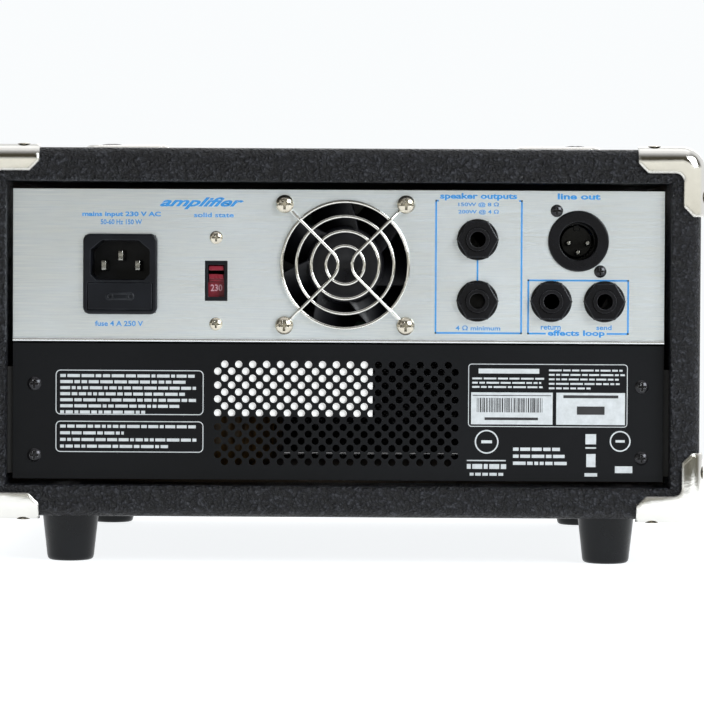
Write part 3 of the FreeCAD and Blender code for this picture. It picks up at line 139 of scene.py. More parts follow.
def soft_lamp(name, place, aim, size, power, colour=(1, 1, 1)):
    """A flat lamp of a size at a place, turned to face a point."""
    lamp = bpy.data.lights.new(name, "AREA")
    lamp.shape = "RECTANGLE"
    lamp.size, lamp.size_y = size
    lamp.energy = power
    lamp.color = colour
    holder = bpy.data.objects.new(name, lamp)
    bpy.context.scene.collection.objects.link(holder)
    holder.location = place
    holder.rotation_euler = (Vector(aim) - Vector(place)).to_track_quat("-Z", "Y").to_euler()


soft_lamp("top_lamp", (0.0, -0.1, 1.5), (0, 0, 0.1), (1.6, 1.2), 3.2)
soft_lamp("rear_lamp", (0.92, -0.95, 0.72), (0.06, -0.12, 0.13), (0.7, 0.7), 19, (0.93, 0.97, 1.0))
soft_lamp("rear_left_lamp", (-1.2, -1.2, 0.7), (0, -0.1, 0.1), (0.7, 0.9), 1.0)
soft_lamp("front_lamp", (0.3, 1.5, 0.9), (0, 0, 0.1), (1.2, 0.9), 5)


def new_finish(name):
    """A material with its node tree, its shader and the socket of its Object coordinates."""
    material = bpy.data.materials.new(name)
    material.use_nodes = True
    tree = material.node_tree
    return material, tree, tree.nodes["Principled BSDF"], node(tree, "TexCoord").outputs["Object"]


TABLE_HALF = 0.64
TABLE_DULL, TABLE_PALE, TABLE_GLOW = (0.34, 0.35, 0.355), (0.36, 0.37, 0.375), (0.965, 0.985, 1.0, 1)
bm = bmesh.new()
bmesh.ops.create_grid(bm, x_segments=1, y_segments=1, size=TABLE_HALF)
mesh = bpy.data.meshes.new("floor")
bm.to_mesh(mesh)
bm.free()
floor = bpy.data.objects.new("floor", mesh)
bpy.context.scene.collection.objects.link(floor)
pale, tree, shader, where = new_finish("pale_floor")
cloud = node(tree, "TexNoise", Vector=where, Scale=3.0, Detail=2.0)
plug(shader, Base_Color=soften_between(tree, cloud.outputs["Fac"], TABLE_DULL, TABLE_PALE),
     Emission_Color=TABLE_GLOW, Emission_Strength=0.90, Roughness=0.85, Specular_IOR_Level=0.2)
mesh.materials.append(pale)
floor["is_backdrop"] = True


# ---------------------------------------------------------------- cabinet boards and battens
# Four birch plywood boards, rebated at the corners and glued, with battens glued inside for the chassis and
# the lower panel. A dark stain inside lets the veneers show only as faint lines.

def new_group(name, inputs, outputs):
    """A shader node group with named inputs and outputs: its tree, its input sockets and its output node."""
    group = bpy.data.node_groups.new(name, "ShaderNodeTree")
    for label, kind, value in inputs:
        socket = group.interface.new_socket(name=label, in_out="INPUT", socket_type="NodeSocket" + kind)
        if value is not None:
            socket.default_value = value
    for label, kind in outputs:
        group.interface.new_socket(name=label, in_out="OUTPUT", socket_type="NodeSocket" + kind)
    entry = group.nodes.new("NodeGroupInput")
    leave = group.nodes.new("NodeGroupOutput")
    return group, entry.outputs, leave


def use_group(tree, group, **inputs):
    """Places a group in a material and returns its outputs."""
    placed = tree.nodes.new("ShaderNodeGroup")
    placed.node_tree = group
    plug(placed, **inputs)
    return placed.outputs


def maths(tree, operation, *values):
    """The socket of a plain operation on numbers or sockets."""
    return node(tree, "Math", *values, settings={"operation": operation}).outputs[0]


def relief_of(tree, height, depth, strength=1.0, normal=None):
    """The normal socket of a relief that is a depth in millimetres tall."""
    return node(tree, "Bump", Strength=strength, Distance=depth * MM, Height=height, Normal=normal).outputs[0]


surface, given, leave = new_group(
    "cloud_and_grain", [("Vector", "Vector", None), ("Cloud", "Float", 20.0), ("Grain", "Float", 900.0)],
    [("Cloud", "Float"), ("Grain", "Float")])
wide = node(surface, "TexNoise", Vector=given["Vector"], Scale=given["Cloud"], Detail=4.0, Roughness=0.6)
fine = node(surface, "TexNoise", Vector=given["Vector"], Scale=given["Grain"], Detail=3.0, Roughness=0.55)
plug(leave, Cloud=ranged(surface, wide.outputs["Fac"], 0.0, 1.0, 0.3, 0.7), Grain=fine.outputs["Fac"])

# Edge and recess masks: edges are lightened partly as rubbed wear and partly as painted highlight, and recesses get
# painted shade.
edges, given, leave = new_group(
    "worn_highlit_and_recess_shaded_edges", [("Vector", "Vector", None), ("Radius", "Float", 0.0003)],
    [("Wear", "Float"), ("Dirt", "Float"), ("Normal", "Vector")])
softened = node(edges, "Bevel", given["Radius"], settings={"samples": 4}).outputs[0]
flat = node(edges, "NewGeometry").outputs["Normal"]
agreement = node(edges, "VectorMath", softened, flat, settings={"operation": "DOT_PRODUCT"})
edge_share = ranged(edges, agreement.outputs["Value"], 1.0, 0.0, 0.82, 0.985)
patchy = node(edges, "TexNoise", Vector=given["Vector"], Scale=160.0, Detail=3.0)
# Ambient occlusion finds hollows and recesses; the finishes darken them there as painted shade.
sheltered = node(edges, "AmbientOcclusion", Distance=1.1 * MM, settings={"samples": 6, "only_local": True})
plug(leave, Wear=maths(edges, "MULTIPLY", edge_share, ranged(edges, patchy.outputs["Fac"], 0.25, 1.0, 0.35, 0.65)),
     Dirt=ranged(edges, sheltered.outputs["AO"], 1.0, 0.0, 0.25, 0.85), Normal=softened)


def worked_finish(name, colour, edge_colour, roughness, metal=0.0, cloud=25.0, grain=1400.0, relief=0.03,
                  radius=0.25, change=0.14, polish=0.08, shine=0.5, recess_shade=0.12):
    """A moulded, painted or plated surface: clouded colour, uneven gloss, fine grain, edges lightened partly as wear
    and partly as painted highlight, and painted shade in hollows and recesses.

    Cloud and grain are noise scales, relief and radius millimetres, change and the recess share (the painted shade in
    recesses) shares of the colour, polish how far the roughness strays, and shine the specular level.
    """
    material, tree, shader, where = new_finish(name)
    marks = use_group(tree, surface, Vector=where, Cloud=cloud, Grain=grain)
    rims = use_group(tree, edges, Vector=where, Radius=radius * MM)
    darker = [part * (1 - change) for part in colour]
    lighter = [min(1, part * (1 + change)) for part in colour]
    body = soften_between(tree, marks["Cloud"], darker, lighter)
    # Edges take the lighter edge colour, partly as wear and partly as painted highlight.
    worn_and_highlit = soften_between(tree, rims["Wear"], body, edge_colour)
    # Painted shade: hollows and recesses take a dark share of the colour.
    plug(shader, Base_Color=soften_between(tree, rims["Dirt"], worn_and_highlit, [part * recess_shade for part in colour]),
         Roughness=ranged(tree, marks["Cloud"], roughness - polish, roughness + polish),
         Normal=relief_of(tree, marks["Grain"], relief, normal=rims["Normal"]), Metallic=metal,
         Specular_IOR_Level=shine)
    return material


def give(material, *names):
    """Gives CAD nodes a material."""
    for name in names:
        for slot in nodes[name].material_slots:
            slot.material = material


plywood, tree, shader, where = new_finish("birch_plywood")
marks = use_group(tree, surface, Vector=where, Cloud=12.0, Grain=500.0)
layers = node(tree, "TexWave", Vector=where, Scale=230.0, Distortion=1.2, Detail=2.0,
              settings={"bands_direction": "Z", "wave_profile": "SAW"})
figure = node(tree, "TexNoise", Vector=node(tree, "Mapping", Vector=where, Scale=(6, 140, 140)).outputs[0],
              Scale=1.0, Detail=5.0)
veneer = soften_between(tree, layers.outputs["Fac"], (0.085, 0.055, 0.030), (0.15, 0.105, 0.065))
streaked = soften_between(tree, ranged(tree, figure.outputs["Fac"], 0.0, 0.5), veneer, (0.06, 0.038, 0.020))
plug(shader, Base_Color=streaked, Roughness=ranged(tree, marks["Cloud"], 0.6, 0.8),
     Normal=relief_of(tree, figure.outputs["Fac"], 0.1, 0.6))
give(plywood, "cabinet_top_board", "cabinet_bottom_board", "cabinet_left_board", "cabinet_right_board")
blackened = worked_finish("black_stained_wood", (0.008, 0.0075, 0.007), (0.035, 0.028, 0.02), 0.7, cloud=14, grain=700,
                          relief=0.12, radius=0.4, change=0.3)
give(blackened, "inner_battens")


# ---------------------------------------------------------------- vinyl covering
# Cloth-backed black vinyl with a pebbled leather grain, glued over the boards and turned in round both
# mouths of the cabinet, where the board edges are eased so that it rolls over softly.

CABINET = Vector((298, 254, 152)) * MM
CABINET_LOW = 19.7 * MM
WALLS = {"side": 12.5 * MM, "floor": 13 * MM, "roof": 14 * MM}
TURNED_IN, VINYL_THICK = 25 * MM, 1 * MM
LONG_ROUND, RIM_ROUND, LIP_ROUND = 8 * MM, 5 * MM, 1.6 * MM


def rounded(bm, chosen, size, steps=4):
    """Rounds edges of a bmesh."""
    bmesh.ops.bevel(bm, geom=chosen, offset=size, offset_type="OFFSET", affect="EDGES", segments=steps,
                    profile=0.5, material=-1)


def block(bm, x, y, z):
    """Adds a box between two limits along each axis, in millimetres, and returns its vertices."""
    centre = Matrix.Translation([(low + high) / 2 * MM for low, high in (x, y, z)])
    size = Matrix.Diagonal([*[(high - low) * MM for low, high in (x, y, z)], 1])
    return bmesh.ops.create_cube(bm, size=1, matrix=centre @ size)["verts"]


def make_piece(bm, name, material, replaced=(), body="cabinet", crease=32, even=False):
    """Turns a finished bmesh into a piece that rides on a body; even keeps its large flats flat beside roundings."""
    for face in bm.faces:
        face.smooth = True
    for edge in bm.edges:
        edge.smooth = not edge.is_manifold or edge.calc_face_angle() < math.radians(crease)
    mesh = bpy.data.meshes.new(name)
    bm.to_mesh(mesh)
    bm.free()
    mesh.materials.append(material)
    piece = bpy.data.objects.new(name, mesh)
    bpy.context.scene.collection.objects.link(piece)
    if even:
        weighted = piece.modifiers.new("even_flats", "WEIGHTED_NORMAL")
        weighted.keep_sharp = True
        weighted.weight = 100
    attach(piece, body)
    if replaced:
        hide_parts(*replaced)
    return piece


def level(edge, y):
    """True for an edge that lies in the plane at a depth y."""
    return all(abs(vert.co.y - y) < 1e-5 for vert in edge.verts)


def runs_along(edge, axis, least=0.1):
    """True for an edge that goes further along an axis than a least length in metres."""
    first, second = (vert.co[axis] for vert in edge.verts)
    return abs(first - second) > least


bm = bmesh.new()
half_deep = CABINET.y / 2
bmesh.ops.create_cube(bm, size=1, matrix=Matrix.Translation((0, 0, CABINET_LOW + CABINET.z / 2))
                      @ Matrix.Diagonal((*CABINET, 1)))
rounded(bm, [edge for edge in bm.edges if runs_along(edge, 1)], LONG_ROUND, 8)
rounded(bm, [edge for edge in bm.edges if level(edge, half_deep) or level(edge, -half_deep)], RIM_ROUND, 6)
for end in (-1, 1):
    face_y = end * half_deep
    ends = [face for face in bm.faces if abs(face.calc_center_median().y - face_y) < 1e-5]
    bmesh.ops.delete(bm, geom=ends, context="FACES_ONLY")
    rim = [edge for edge in bm.edges if edge.is_boundary and level(edge, face_y)]
    wide = CABINET.x / 2 - WALLS["side"]
    low, high = CABINET_LOW + WALLS["floor"], CABINET_LOW + CABINET.z - WALLS["roof"]
    centre = Matrix.Translation((0, face_y - end * TURNED_IN / 2, (low + high) / 2))
    tunnel = bmesh.ops.create_cube(bm, size=1, matrix=centre @ Matrix.Diagonal((2 * wide, TURNED_IN, high - low, 1)))
    walls = {face for vert in tunnel["verts"] for face in vert.link_faces}
    caps = [face for face in walls if abs(face.normal.y) > 0.5]
    bmesh.ops.delete(bm, geom=caps, context="FACES_ONLY")
    bmesh.ops.reverse_faces(bm, faces=[face for face in walls if face.is_valid])
    mouth = [edge for edge in bm.edges if edge.is_boundary and level(edge, face_y) and edge not in rim]
    bmesh.ops.bridge_loops(bm, edges=rim + mouth)
    rounded(bm, mouth, LIP_ROUND, 4)
bmesh.ops.recalc_face_normals(bm, faces=bm.faces)
bmesh.ops.solidify(bm, geom=bm.faces[:], thickness=VINYL_THICK)

# The colour carries a painted highlight on the pebbles' crowns and painted shade in the creases between them.
VINYL_DARK, VINYL_LIGHT = (0.0034, 0.0037, 0.0058), (0.0072, 0.0077, 0.0108)
VINYL_PAINTED_HIGHLIGHT, VINYL_PAINTED_SHADE = (0.040, 0.042, 0.050), (0.003, 0.003, 0.004)
vinyl, tree, shader, where = new_finish("pebbled_vinyl")
bent = node(tree, "TexNoise", Vector=where, Scale=240.0, Detail=2.0)
shifted = node(tree, "VectorMath", bent.outputs["Color"], (0.0032, 0.0032, 0.0032), where,
               settings={"operation": "MULTIPLY_ADD"})
pebbles = node(tree, "TexVoronoi", Vector=shifted.outputs[0], Scale=680.0, Smoothness=0.3,
               settings={"feature": "SMOOTH_F1"})
creases = node(tree, "TexNoise", Vector=node(tree, "Mapping", Vector=where, Scale=(1, 1, 1.5)).outputs[0],
               Scale=360.0, Detail=4.0, Roughness=0.6)
marks = use_group(tree, surface, Vector=where, Cloud=9.0, Grain=2600.0)
domes = ranged(tree, pebbles.outputs["Distance"], 1.0, 0.0, 0.08, 0.62)
pebbled = maths(tree, "ADD", ranged(tree, creases.outputs["Fac"], 0.0, 1.4, 0.32, 0.68), domes)
grained = maths(tree, "ADD", pebbled, ranged(tree, marks["Grain"], 0.0, 0.12))
base = soften_between(tree, marks["Cloud"], VINYL_DARK, VINYL_LIGHT)
# Painted shade in the creases and painted highlight on the crowns, taken from the pebble relief.
shaded_hollows = ranged(tree, pebbled, 1.0, 0.0, 0.5, 1.2)
lit_tips = ranged(tree, pebbled, 0.0, 0.9, 1.15, 1.9)
highlighted_tips = soften_between(tree, lit_tips, base, VINYL_PAINTED_HIGHLIGHT)
plug(shader, Base_Color=soften_between(tree, shaded_hollows, highlighted_tips, VINYL_PAINTED_SHADE),
     Roughness=ranged(tree, marks["Cloud"], 0.30, 0.42), Normal=relief_of(tree, grained, 0.65),
     Specular_IOR_Level=0.29)
make_piece(bm, "vinyl_wrap", vinyl, ["vinyl_covering"], crease=60)


# ---------------------------------------------------------------- corner protectors
# Eight pressings of bright plated steel, one over each corner of the cabinet, each held by two
# cross-head screws that go through the vinyl into the boards.

def joined_copy(name):
    """A CAD node's shape, with its triangles joined up."""
    bm = bmesh.new()
    bm.from_mesh(nodes[name].data)
    bmesh.ops.remove_doubles(bm, verts=bm.verts, dist=2e-6)
    return bm


def eased_copy(name, width, steps=2):
    """A CAD node's shape, with its sharp edges rounded by a width in millimetres."""
    bm = joined_copy(name)
    bmesh.ops.dissolve_limit(bm, angle_limit=math.radians(0.4), verts=bm.verts, edges=bm.edges)
    sharp = math.radians(35)
    rounded(bm, [edge for edge in bm.edges if edge.is_manifold and edge.calc_face_angle() > sharp], width * MM, steps)
    return bm


def eased_piece(replaced, width, name, material, steps=2, body="cabinet", crease=40, even=True):
    """A piece that takes a CAD node's place, with that node's shape and rounded edges."""
    make_piece(eased_copy(replaced, width, steps), name, material, [replaced], body, crease, even)


# Its wide edge mask lightens the roundings of the pressings towards the edge colour, as painted highlight and wear.
chrome = worked_finish("bright_plating", (0.84, 0.825, 0.785), (0.93, 0.92, 0.89), 0.07, metal=1.0, cloud=60,
                       grain=300, relief=0.012, radius=1.9, change=0.05, polish=0.03)
for end in ("rear", "front"):
    eased_piece(f"{end}_corner_protectors", 0.4, f"{end}_corner_plates", chrome, crease=50)
nickel = worked_finish("nickel_plating", (0.66, 0.61, 0.51), (0.90, 0.86, 0.77), 0.2, metal=1.0, cloud=240,
                       grain=2400, relief=0.02, radius=0.2, change=0.16)
PLATE_TOP, PLATE_UNDER, PLATE_SIDE = 173.0 * MM, 18.4 * MM, 150.3 * MM
SEATED = 0.3  # the share of a head's height that stands proud of its plate
bm = joined_copy("corner_screws")
for vert in bm.verts:
    vert.co.z -= (1 - SEATED) * (max(0.0, vert.co.z - PLATE_TOP) - max(0.0, PLATE_UNDER - vert.co.z))
    beyond = max(0.0, abs(vert.co.x) - PLATE_SIDE) * (1 - SEATED)
    vert.co.x -= math.copysign(beyond, vert.co.x)
make_piece(bm, "corner_screws_seated", nickel, ["corner_screws"], crease=30)


# ---------------------------------------------------------------- feet
# Four tapered feet of moulded black rubber, hollow underneath for a screw and a washer, with a thin
# moulded collar where they meet the vinyl.

def turned(profile, axis="z", steps=64):
    """A closed bmesh spun about Z, or laid along +Y, from (radius, height) points in millimetres."""
    bm = bmesh.new()
    line = [bm.verts.new((radius * MM, 0, height * MM)) for radius, height in profile]
    sides = [bm.edges.new(pair) for pair in zip(line, line[1:])]
    bmesh.ops.spin(bm, geom=line + sides, cent=(0, 0, 0), axis=(0, 0, 1), angle=2 * math.pi, steps=steps,
                   use_merge=True)
    bmesh.ops.remove_doubles(bm, verts=bm.verts, dist=1e-6)
    bmesh.ops.holes_fill(bm, edges=[edge for edge in bm.edges if edge.is_boundary], sides=0)
    bmesh.ops.recalc_face_normals(bm, faces=bm.faces)
    if axis == "y":
        bmesh.ops.rotate(bm, verts=bm.verts, cent=(0, 0, 0), matrix=Matrix.Rotation(-math.pi / 2, 3, "X"))
    return bm


def repeated(bm, places):
    """A bmesh with one copy of another at each place, in millimetres; the other is used up."""
    mesh = bpy.data.meshes.new("repeated")
    bm.to_mesh(mesh)
    bm.free()
    whole = bmesh.new()
    for place in places:
        start = len(whole.verts)
        whole.from_mesh(mesh)
        whole.verts.ensure_lookup_table()
        bmesh.ops.translate(whole, verts=whole.verts[start:], vec=Vector(place) * MM)
    bpy.data.meshes.remove(mesh)
    return whole


FOOT_PROFILE = [(2.3, 19.7), (11.8, 19.7), (11.8, 18.7), (11.6, 18.3), (9.75, 1.9), (9.5, 0.9), (8.9, 0.25),
                (8.1, 0.0), (5.4, 0.0), (5.0, 0.4), (4.9, 7.9), (2.3, 7.9), (2.3, 19.7)]
rubber = worked_finish("moulded_rubber", (0.0035, 0.0042, 0.0055), (0.03, 0.031, 0.035), 0.3, cloud=90, grain=1900,
                       relief=0.03, radius=0.5, change=0.22, shine=0.25)
FOOT_X, FOOT_Y = 112, 102
bm = repeated(turned(FOOT_PROFILE, steps=72), [(x, y, 0) for x in (-FOOT_X, FOOT_X) for y in (-FOOT_Y, FOOT_Y)])
make_piece(bm, "rubber_feet_moulded", rubber, ["rubber_feet"])
black_oxide = worked_finish("black_oxide_steel", (0.030, 0.030, 0.033), (0.30, 0.30, 0.30), 0.2, metal=0.75, cloud=200,
                            grain=2600, relief=0.02, radius=0.3, change=0.25)
give(black_oxide, "foot_screws")


# ---------------------------------------------------------------- handle
# A low strap of moulded black vinyl over a steel band, held at both ends under plated caps, each with one
# broad black screw into the roof. It lies almost flat; the real strap bows up as it is lifted, but this one is not made
# to bend.

STRAP_HALF, STRAP_SIDE, STRAP_LOW, STRAP_THICK = 110.5, 12, 172.0, 2.6
CROWN_TALL, CROWN_END, CROWN_SLOPE, CROWN_SIDE = 1.0, 74, 10, 12.2  # the padded top, and where it falls away
GROOVE_END, GROOVE_SIDE, GROOVE_HALF, GROOVE_DEEP = 70, 9.2, 0.9, 0.45
bm = bmesh.new()
block(bm, (-STRAP_HALF, STRAP_HALF), (-STRAP_SIDE, STRAP_SIDE), (STRAP_LOW, STRAP_LOW + STRAP_THICK))
for axis, least, cuts in ((0, 0.1, 70), (1, 0.01, 15)):
    along = [edge for edge in bm.edges if runs_along(edge, axis, least)]
    bmesh.ops.subdivide_edges(bm, edges=along, cuts=cuts, use_grid_fill=True)
for vert in bm.verts:
    along, side = abs(vert.co.x) / MM, abs(vert.co.y) / MM
    if vert.co.z > (STRAP_LOW + 1) * MM:
        crown = max(0.0, min(1.0, (CROWN_END - along) / CROWN_SLOPE))
        vert.co.z += CROWN_TALL * MM * crown * crown * (3 - 2 * crown) * max(0.0, 1 - (side / CROWN_SIDE) ** 4)
        if along < GROOVE_END and abs(side - GROOVE_SIDE) < GROOVE_HALF:
            vert.co.z -= GROOVE_DEEP * MM
rounded(bm, [edge for edge in bm.edges if edge.calc_face_angle(0) > 1.2], 0.7 * MM, 3)
strap = worked_finish("strap_vinyl", (0.010, 0.010, 0.013), (0.05, 0.05, 0.055), 0.42, cloud=40, grain=850,
                      relief=0.12, radius=0.3, change=0.2, shine=0.4)
make_piece(bm, "carrying_strap", strap, ["handle_strap"], crease=50)

eased_piece("handle_end_caps", 0.35, "strap_caps", chrome, crease=45)
dull_black = worked_finish("dull_black_paint", (0.006, 0.006, 0.008), (0.02, 0.02, 0.022), 0.6, cloud=90, grain=1500,
                           relief=0.03, radius=0.3, change=0.3, shine=0.06)
give(dull_black, "handle_screws")


# ---------------------------------------------------------------- rear connector panel
# A sheet of aluminium brushed from side to side and lacquered, riveted over the steel flange, with a
# turned-out lip along its bottom edge. Its legends and frames are screen-printed in blue.

PANEL_FACE = -121.0
PRINT_THICK = 0.03


# Long scratches and finer hairs run along X; both streak the colour, the gloss and the relief.
LONG_STREAKS, HAIR_STREAKS = (32.0, 1400.0, 1400.0), (72.0, 3900.0, 3900.0)
aluminium, tree, shader, where = new_finish("brushed_aluminium")
marks = use_group(tree, surface, Vector=where, Cloud=7.0, Grain=2000.0)
rims = use_group(tree, edges, Vector=where, Radius=0.2 * MM)
scratches = node(tree, "TexNoise", Scale=1.0, Detail=6.0, Roughness=0.7,
                 Vector=node(tree, "Mapping", Vector=where, Scale=LONG_STREAKS).outputs[0])
hairs = node(tree, "TexNoise", Scale=1.0, Detail=3.0,
             Vector=node(tree, "Mapping", Vector=where, Scale=HAIR_STREAKS).outputs[0])
both = maths(tree, "ADD", scratches.outputs["Fac"], hairs.outputs["Fac"])
mask = ranged(tree, both, 0.0, 1.0, 0.76, 1.24)
tone = soften_between(tree, mask, (0.76, 0.82, 0.87), (0.94, 0.985, 1.0))
# The edges are lightened, partly as worn lacquer and partly as painted edge highlight.
plug(shader, Base_Color=soften_between(tree, rims["Wear"], tone, (0.95, 0.96, 0.97)), Metallic=1.0,
     Roughness=ranged(tree, maths(tree, "ADD", mask, marks["Cloud"]), 0.46, 0.30, 0.4, 1.6),
     Normal=relief_of(tree, both, 0.02, 0.7, rims["Normal"]))
give(aluminium, "rear_panel_upper")
bm = bmesh.new()
block(bm, (-134.2, 134.2), (-121.95, -120.8), (91.8, 93.1))
rounded(bm, [edge for edge in bm.edges if runs_along(edge, 0)], 0.5 * MM, 4)
polished = worked_finish("polished_lip", (0.86, 0.88, 0.89), (0.95, 0.96, 0.97), 0.16, metal=1.0, cloud=60, grain=400,
                         relief=0.01, radius=0.1, change=0.05)
make_piece(bm, "rear_panel_lip", polished, even=True)


def lettering(bm, words, x, z, wide, tall, slant=0.0, weight=0.02, face=PANEL_FACE):
    """Adds printed words centred at (x, z) on a rear or front face, fitted to a width and a height."""
    curve = bpy.data.curves.new("words", "FONT")
    curve.body = words
    curve.extrude = PRINT_THICK * MM
    curve.offset = weight
    curve.shear = slant
    curve.resolution_u = 3
    holder = bpy.data.objects.new("words", curve)
    bpy.context.scene.collection.objects.link(holder)
    bpy.context.view_layer.update()
    mesh = bpy.data.meshes.new_from_object(holder.evaluated_get(bpy.context.evaluated_depsgraph_get()))
    bpy.data.objects.remove(holder)
    spots = [vert.co.copy() for vert in mesh.vertices]
    left, right = min(p.x for p in spots), max(p.x for p in spots)
    low, high = min(p.y for p in spots), max(p.y for p in spots)
    across, up = wide * MM / (right - left), tall * MM / (high - low)
    turn = Matrix.Rotation(math.pi / 2, 4, "X")
    if face > 0:
        turn = Matrix.Rotation(math.pi, 4, "Z") @ turn
    place = Matrix.Translation((x * MM, face * MM, z * MM)) @ turn @ Matrix.Diagonal((across, up, 1, 1))
    mesh.transform(place @ Matrix.Translation((-(left + right) / 2, -(low + high) / 2, 0)))
    bm.from_mesh(mesh)
    bpy.data.meshes.remove(mesh)


def line(bm, x, z, face=PANEL_FACE):
    """Adds a printed bar between two limits across and two up, and returns its vertices."""
    return block(bm, x, (face - PRINT_THICK, face + PRINT_THICK), z)


def ink(name, colour):
    """Screen-printed ink: slightly uneven in colour and gloss, with a grainy edge."""
    return worked_finish(name, colour, [min(1, part * 1.1) for part in colour], 0.5, cloud=500, grain=5000,
                         relief=0.01, radius=0.02, change=0.1)


BLUE_LINE = 0.7
bm = bmesh.new()
# Two frames, each broken at its top or its bottom by a caption, and a stroke that joins the two speaker jacks.
for left, right, low, high, gap, gap_left, gap_right in (
        (39.8, 75.75, 95.65, 150.8, "top", 41.2, 74.3), (77.9, 119.7, 95.6, 118.2, "bottom", 85.6, 110.6)):
    line(bm, (left, left + BLUE_LINE), (low, high))
    line(bm, (right - BLUE_LINE, right), (low, high))
    under, over = (low, low + BLUE_LINE), (high - BLUE_LINE, high)
    full, broken = (under, over) if gap == "top" else (over, under)
    line(bm, (left, right), full)
    line(bm, (left, gap_left), broken)
    line(bm, (gap_right, right), broken)
line(bm, (56.95, 57.65), (117.4, 126.3))
for words, x, z, wide, tall in (
        ("speaker outputs", 57.6, 152.1, 31.7, 3.1), ("150W @ 8 Ω", 57.6, 148.8, 16.7, 2.0),
        ("200W @ 4 Ω", 57.6, 145.8, 16.7, 2.0), ("4 Ω minimum", 57.6, 98.1, 18.4, 2.0),
        ("line out", 98.9, 152.4, 17.6, 2.5), ("return", 87.6, 98.5, 8.2, 1.9), ("send", 109.5, 98.5, 6.3, 1.9),
        ("effects loop", 98.1, 95.9, 23.5, 3.0), ("mains input 230 V AC", -89.5, 144.1, 32.4, 2.5),
        ("50-60 Hz 150 W", -89.6, 141.1, 17.0, 2.1), ("fuse 4 A 250 V", -90.4, 99.2, 19.8, 2.2),
        ("solid state", -51.4, 144.1, 16.4, 1.9)):
    lettering(bm, words, x, z, wide, tall, weight=0.035 if tall > 2.4 else 0.022)
lettering(bm, "amplifier", -56.4, 148.9, 34.5, 5.0, slant=0.5, weight=0.03)
blue_ink = ink("blue_print", (0.028, 0.26, 0.64))
make_piece(bm, "rear_panel_print", blue_ink)


# ---------------------------------------------------------------- lower panel
# A thin steel plate with a fine satin powder coat and staggered vent holes, screwed to the cleats at its
# ends. White print on it carries plain rows of marks where small print would be, and a white insulating
# card shows behind the left part of the vents.

black_coat, tree, shader, where = new_finish("black_powder_coat")
marks = use_group(tree, surface, Vector=where, Cloud=8.0, Grain=1500.0)
rims = use_group(tree, edges, Vector=where, Radius=0.15 * MM)
tone = soften_between(tree, marks["Cloud"], (0.0030, 0.0034, 0.0042), (0.0060, 0.0066, 0.0080))
# The edges are lightened, partly as worn coating and partly as painted edge highlight.
plug(shader, Base_Color=soften_between(tree, rims["Wear"], tone, (0.05, 0.05, 0.055)),
     Roughness=ranged(tree, marks["Grain"], 0.36, 0.52, 0.3, 0.7),
     Normal=relief_of(tree, marks["Grain"], 0.035, 0.8, rims["Normal"]), Specular_IOR_Level=0.15)
give(black_coat, "rear_panel_lower")
give(black_oxide, "lower_panel_screws")


def join(bm, part):
    """Adds one bmesh to another and uses it up."""
    mesh = bpy.data.meshes.new("part")
    part.to_mesh(mesh)
    part.free()
    bm.from_mesh(mesh)
    bpy.data.meshes.remove(mesh)


def outline(bm, x, z, thick, corner):
    """Adds a printed rectangular outline with rounded corners."""
    made = bmesh.new()
    centre = Matrix.Translation((sum(x) / 2 * MM, (PANEL_FACE - PRINT_THICK) * MM, sum(z) / 2 * MM))
    size = Matrix.Diagonal(((x[1] - x[0]) * MM, (z[1] - z[0]) * MM, 1, 1))
    bmesh.ops.create_grid(made, x_segments=1, y_segments=1, size=0.5,
                          matrix=centre @ Matrix.Rotation(math.pi / 2, 4, "X") @ size)
    bmesh.ops.bevel(made, geom=made.verts[:], offset=corner * MM, offset_type="OFFSET", affect="VERTICES", segments=6,
                    profile=0.5, material=-1)
    whole = made.faces[:]
    bmesh.ops.inset_region(made, faces=whole, thickness=thick * MM, use_even_offset=True, use_boundary=True)
    bmesh.ops.delete(made, geom=whole, context="FACES_ONLY")
    bmesh.ops.solidify(made, geom=made.faces[:], thickness=PRINT_THICK * MM)
    join(bm, made)


def plain_rows(bm, x, z_top, pitch, tall, lengths, seed):
    """Adds rows of short bars in place of small print; each length is a share of the row's width."""
    chance = random.Random(seed)
    for row, share in enumerate(lengths):
        start, stop = x[0], x[0] + (x[1] - x[0]) * share
        top = z_top - row * pitch
        while start < stop - 0.8:
            long = min(stop - start, chance.choice((1.6, 2.3, 3.0, 4.1, 5.2)))
            line(bm, (start, start + long), (top - tall, top))
            start += long + 0.65


bm = bmesh.new()
outline(bm, (-116.5, -55.4), (61.5, 80.0), 0.35, 2.0)
plain_rows(bm, (-114.6, -57.4), 78.2, 2.5, 1.25, (0.97, 0.93, 0.98, 0.90, 0.99, 0.86, 0.62), 3)
outline(bm, (-116.5, -55.4), (46.0, 58.9), 0.35, 2.0)
plain_rows(bm, (-114.6, -57.4), 57.3, 2.75, 1.25, (0.98, 0.46, 0.99, 0.78), 8)
outline(bm, (53.8, 119.4), (57.4, 83.4), 0.3, 1.4)
plain_rows(bm, (55.4, 85.0), 77.7, 1.75, 0.75, (1.0, 0.96, 0.98), 11)
plain_rows(bm, (87.0, 118.2), 81.2, 1.85, 0.75, (0.97, 1.0, 0.92, 0.98, 0.55), 5)
plain_rows(bm, (72.4, 96.0), 48.9, 2.9, 1.35, (0.82, 0.9, 0.96), 21)
line(bm, (58.0, 83.0), (79.4, 81.4))
line(bm, (55.0, 88.6), (58.4, 71.6))
line(bm, (90.1, 118.4), (58.4, 71.6))
RING = 0.55
for x, z, radius in ((61.5, 51.2, 4.9), (116.5, 51.7, 4.3)):
    ring = turned([(radius - RING, -PRINT_THICK), (radius, -PRINT_THICK), (radius, PRINT_THICK),
                   (radius - RING, PRINT_THICK), (radius - RING, -PRINT_THICK)], "y", 48)
    join(bm, repeated(ring, [(x, PANEL_FACE, z)]))
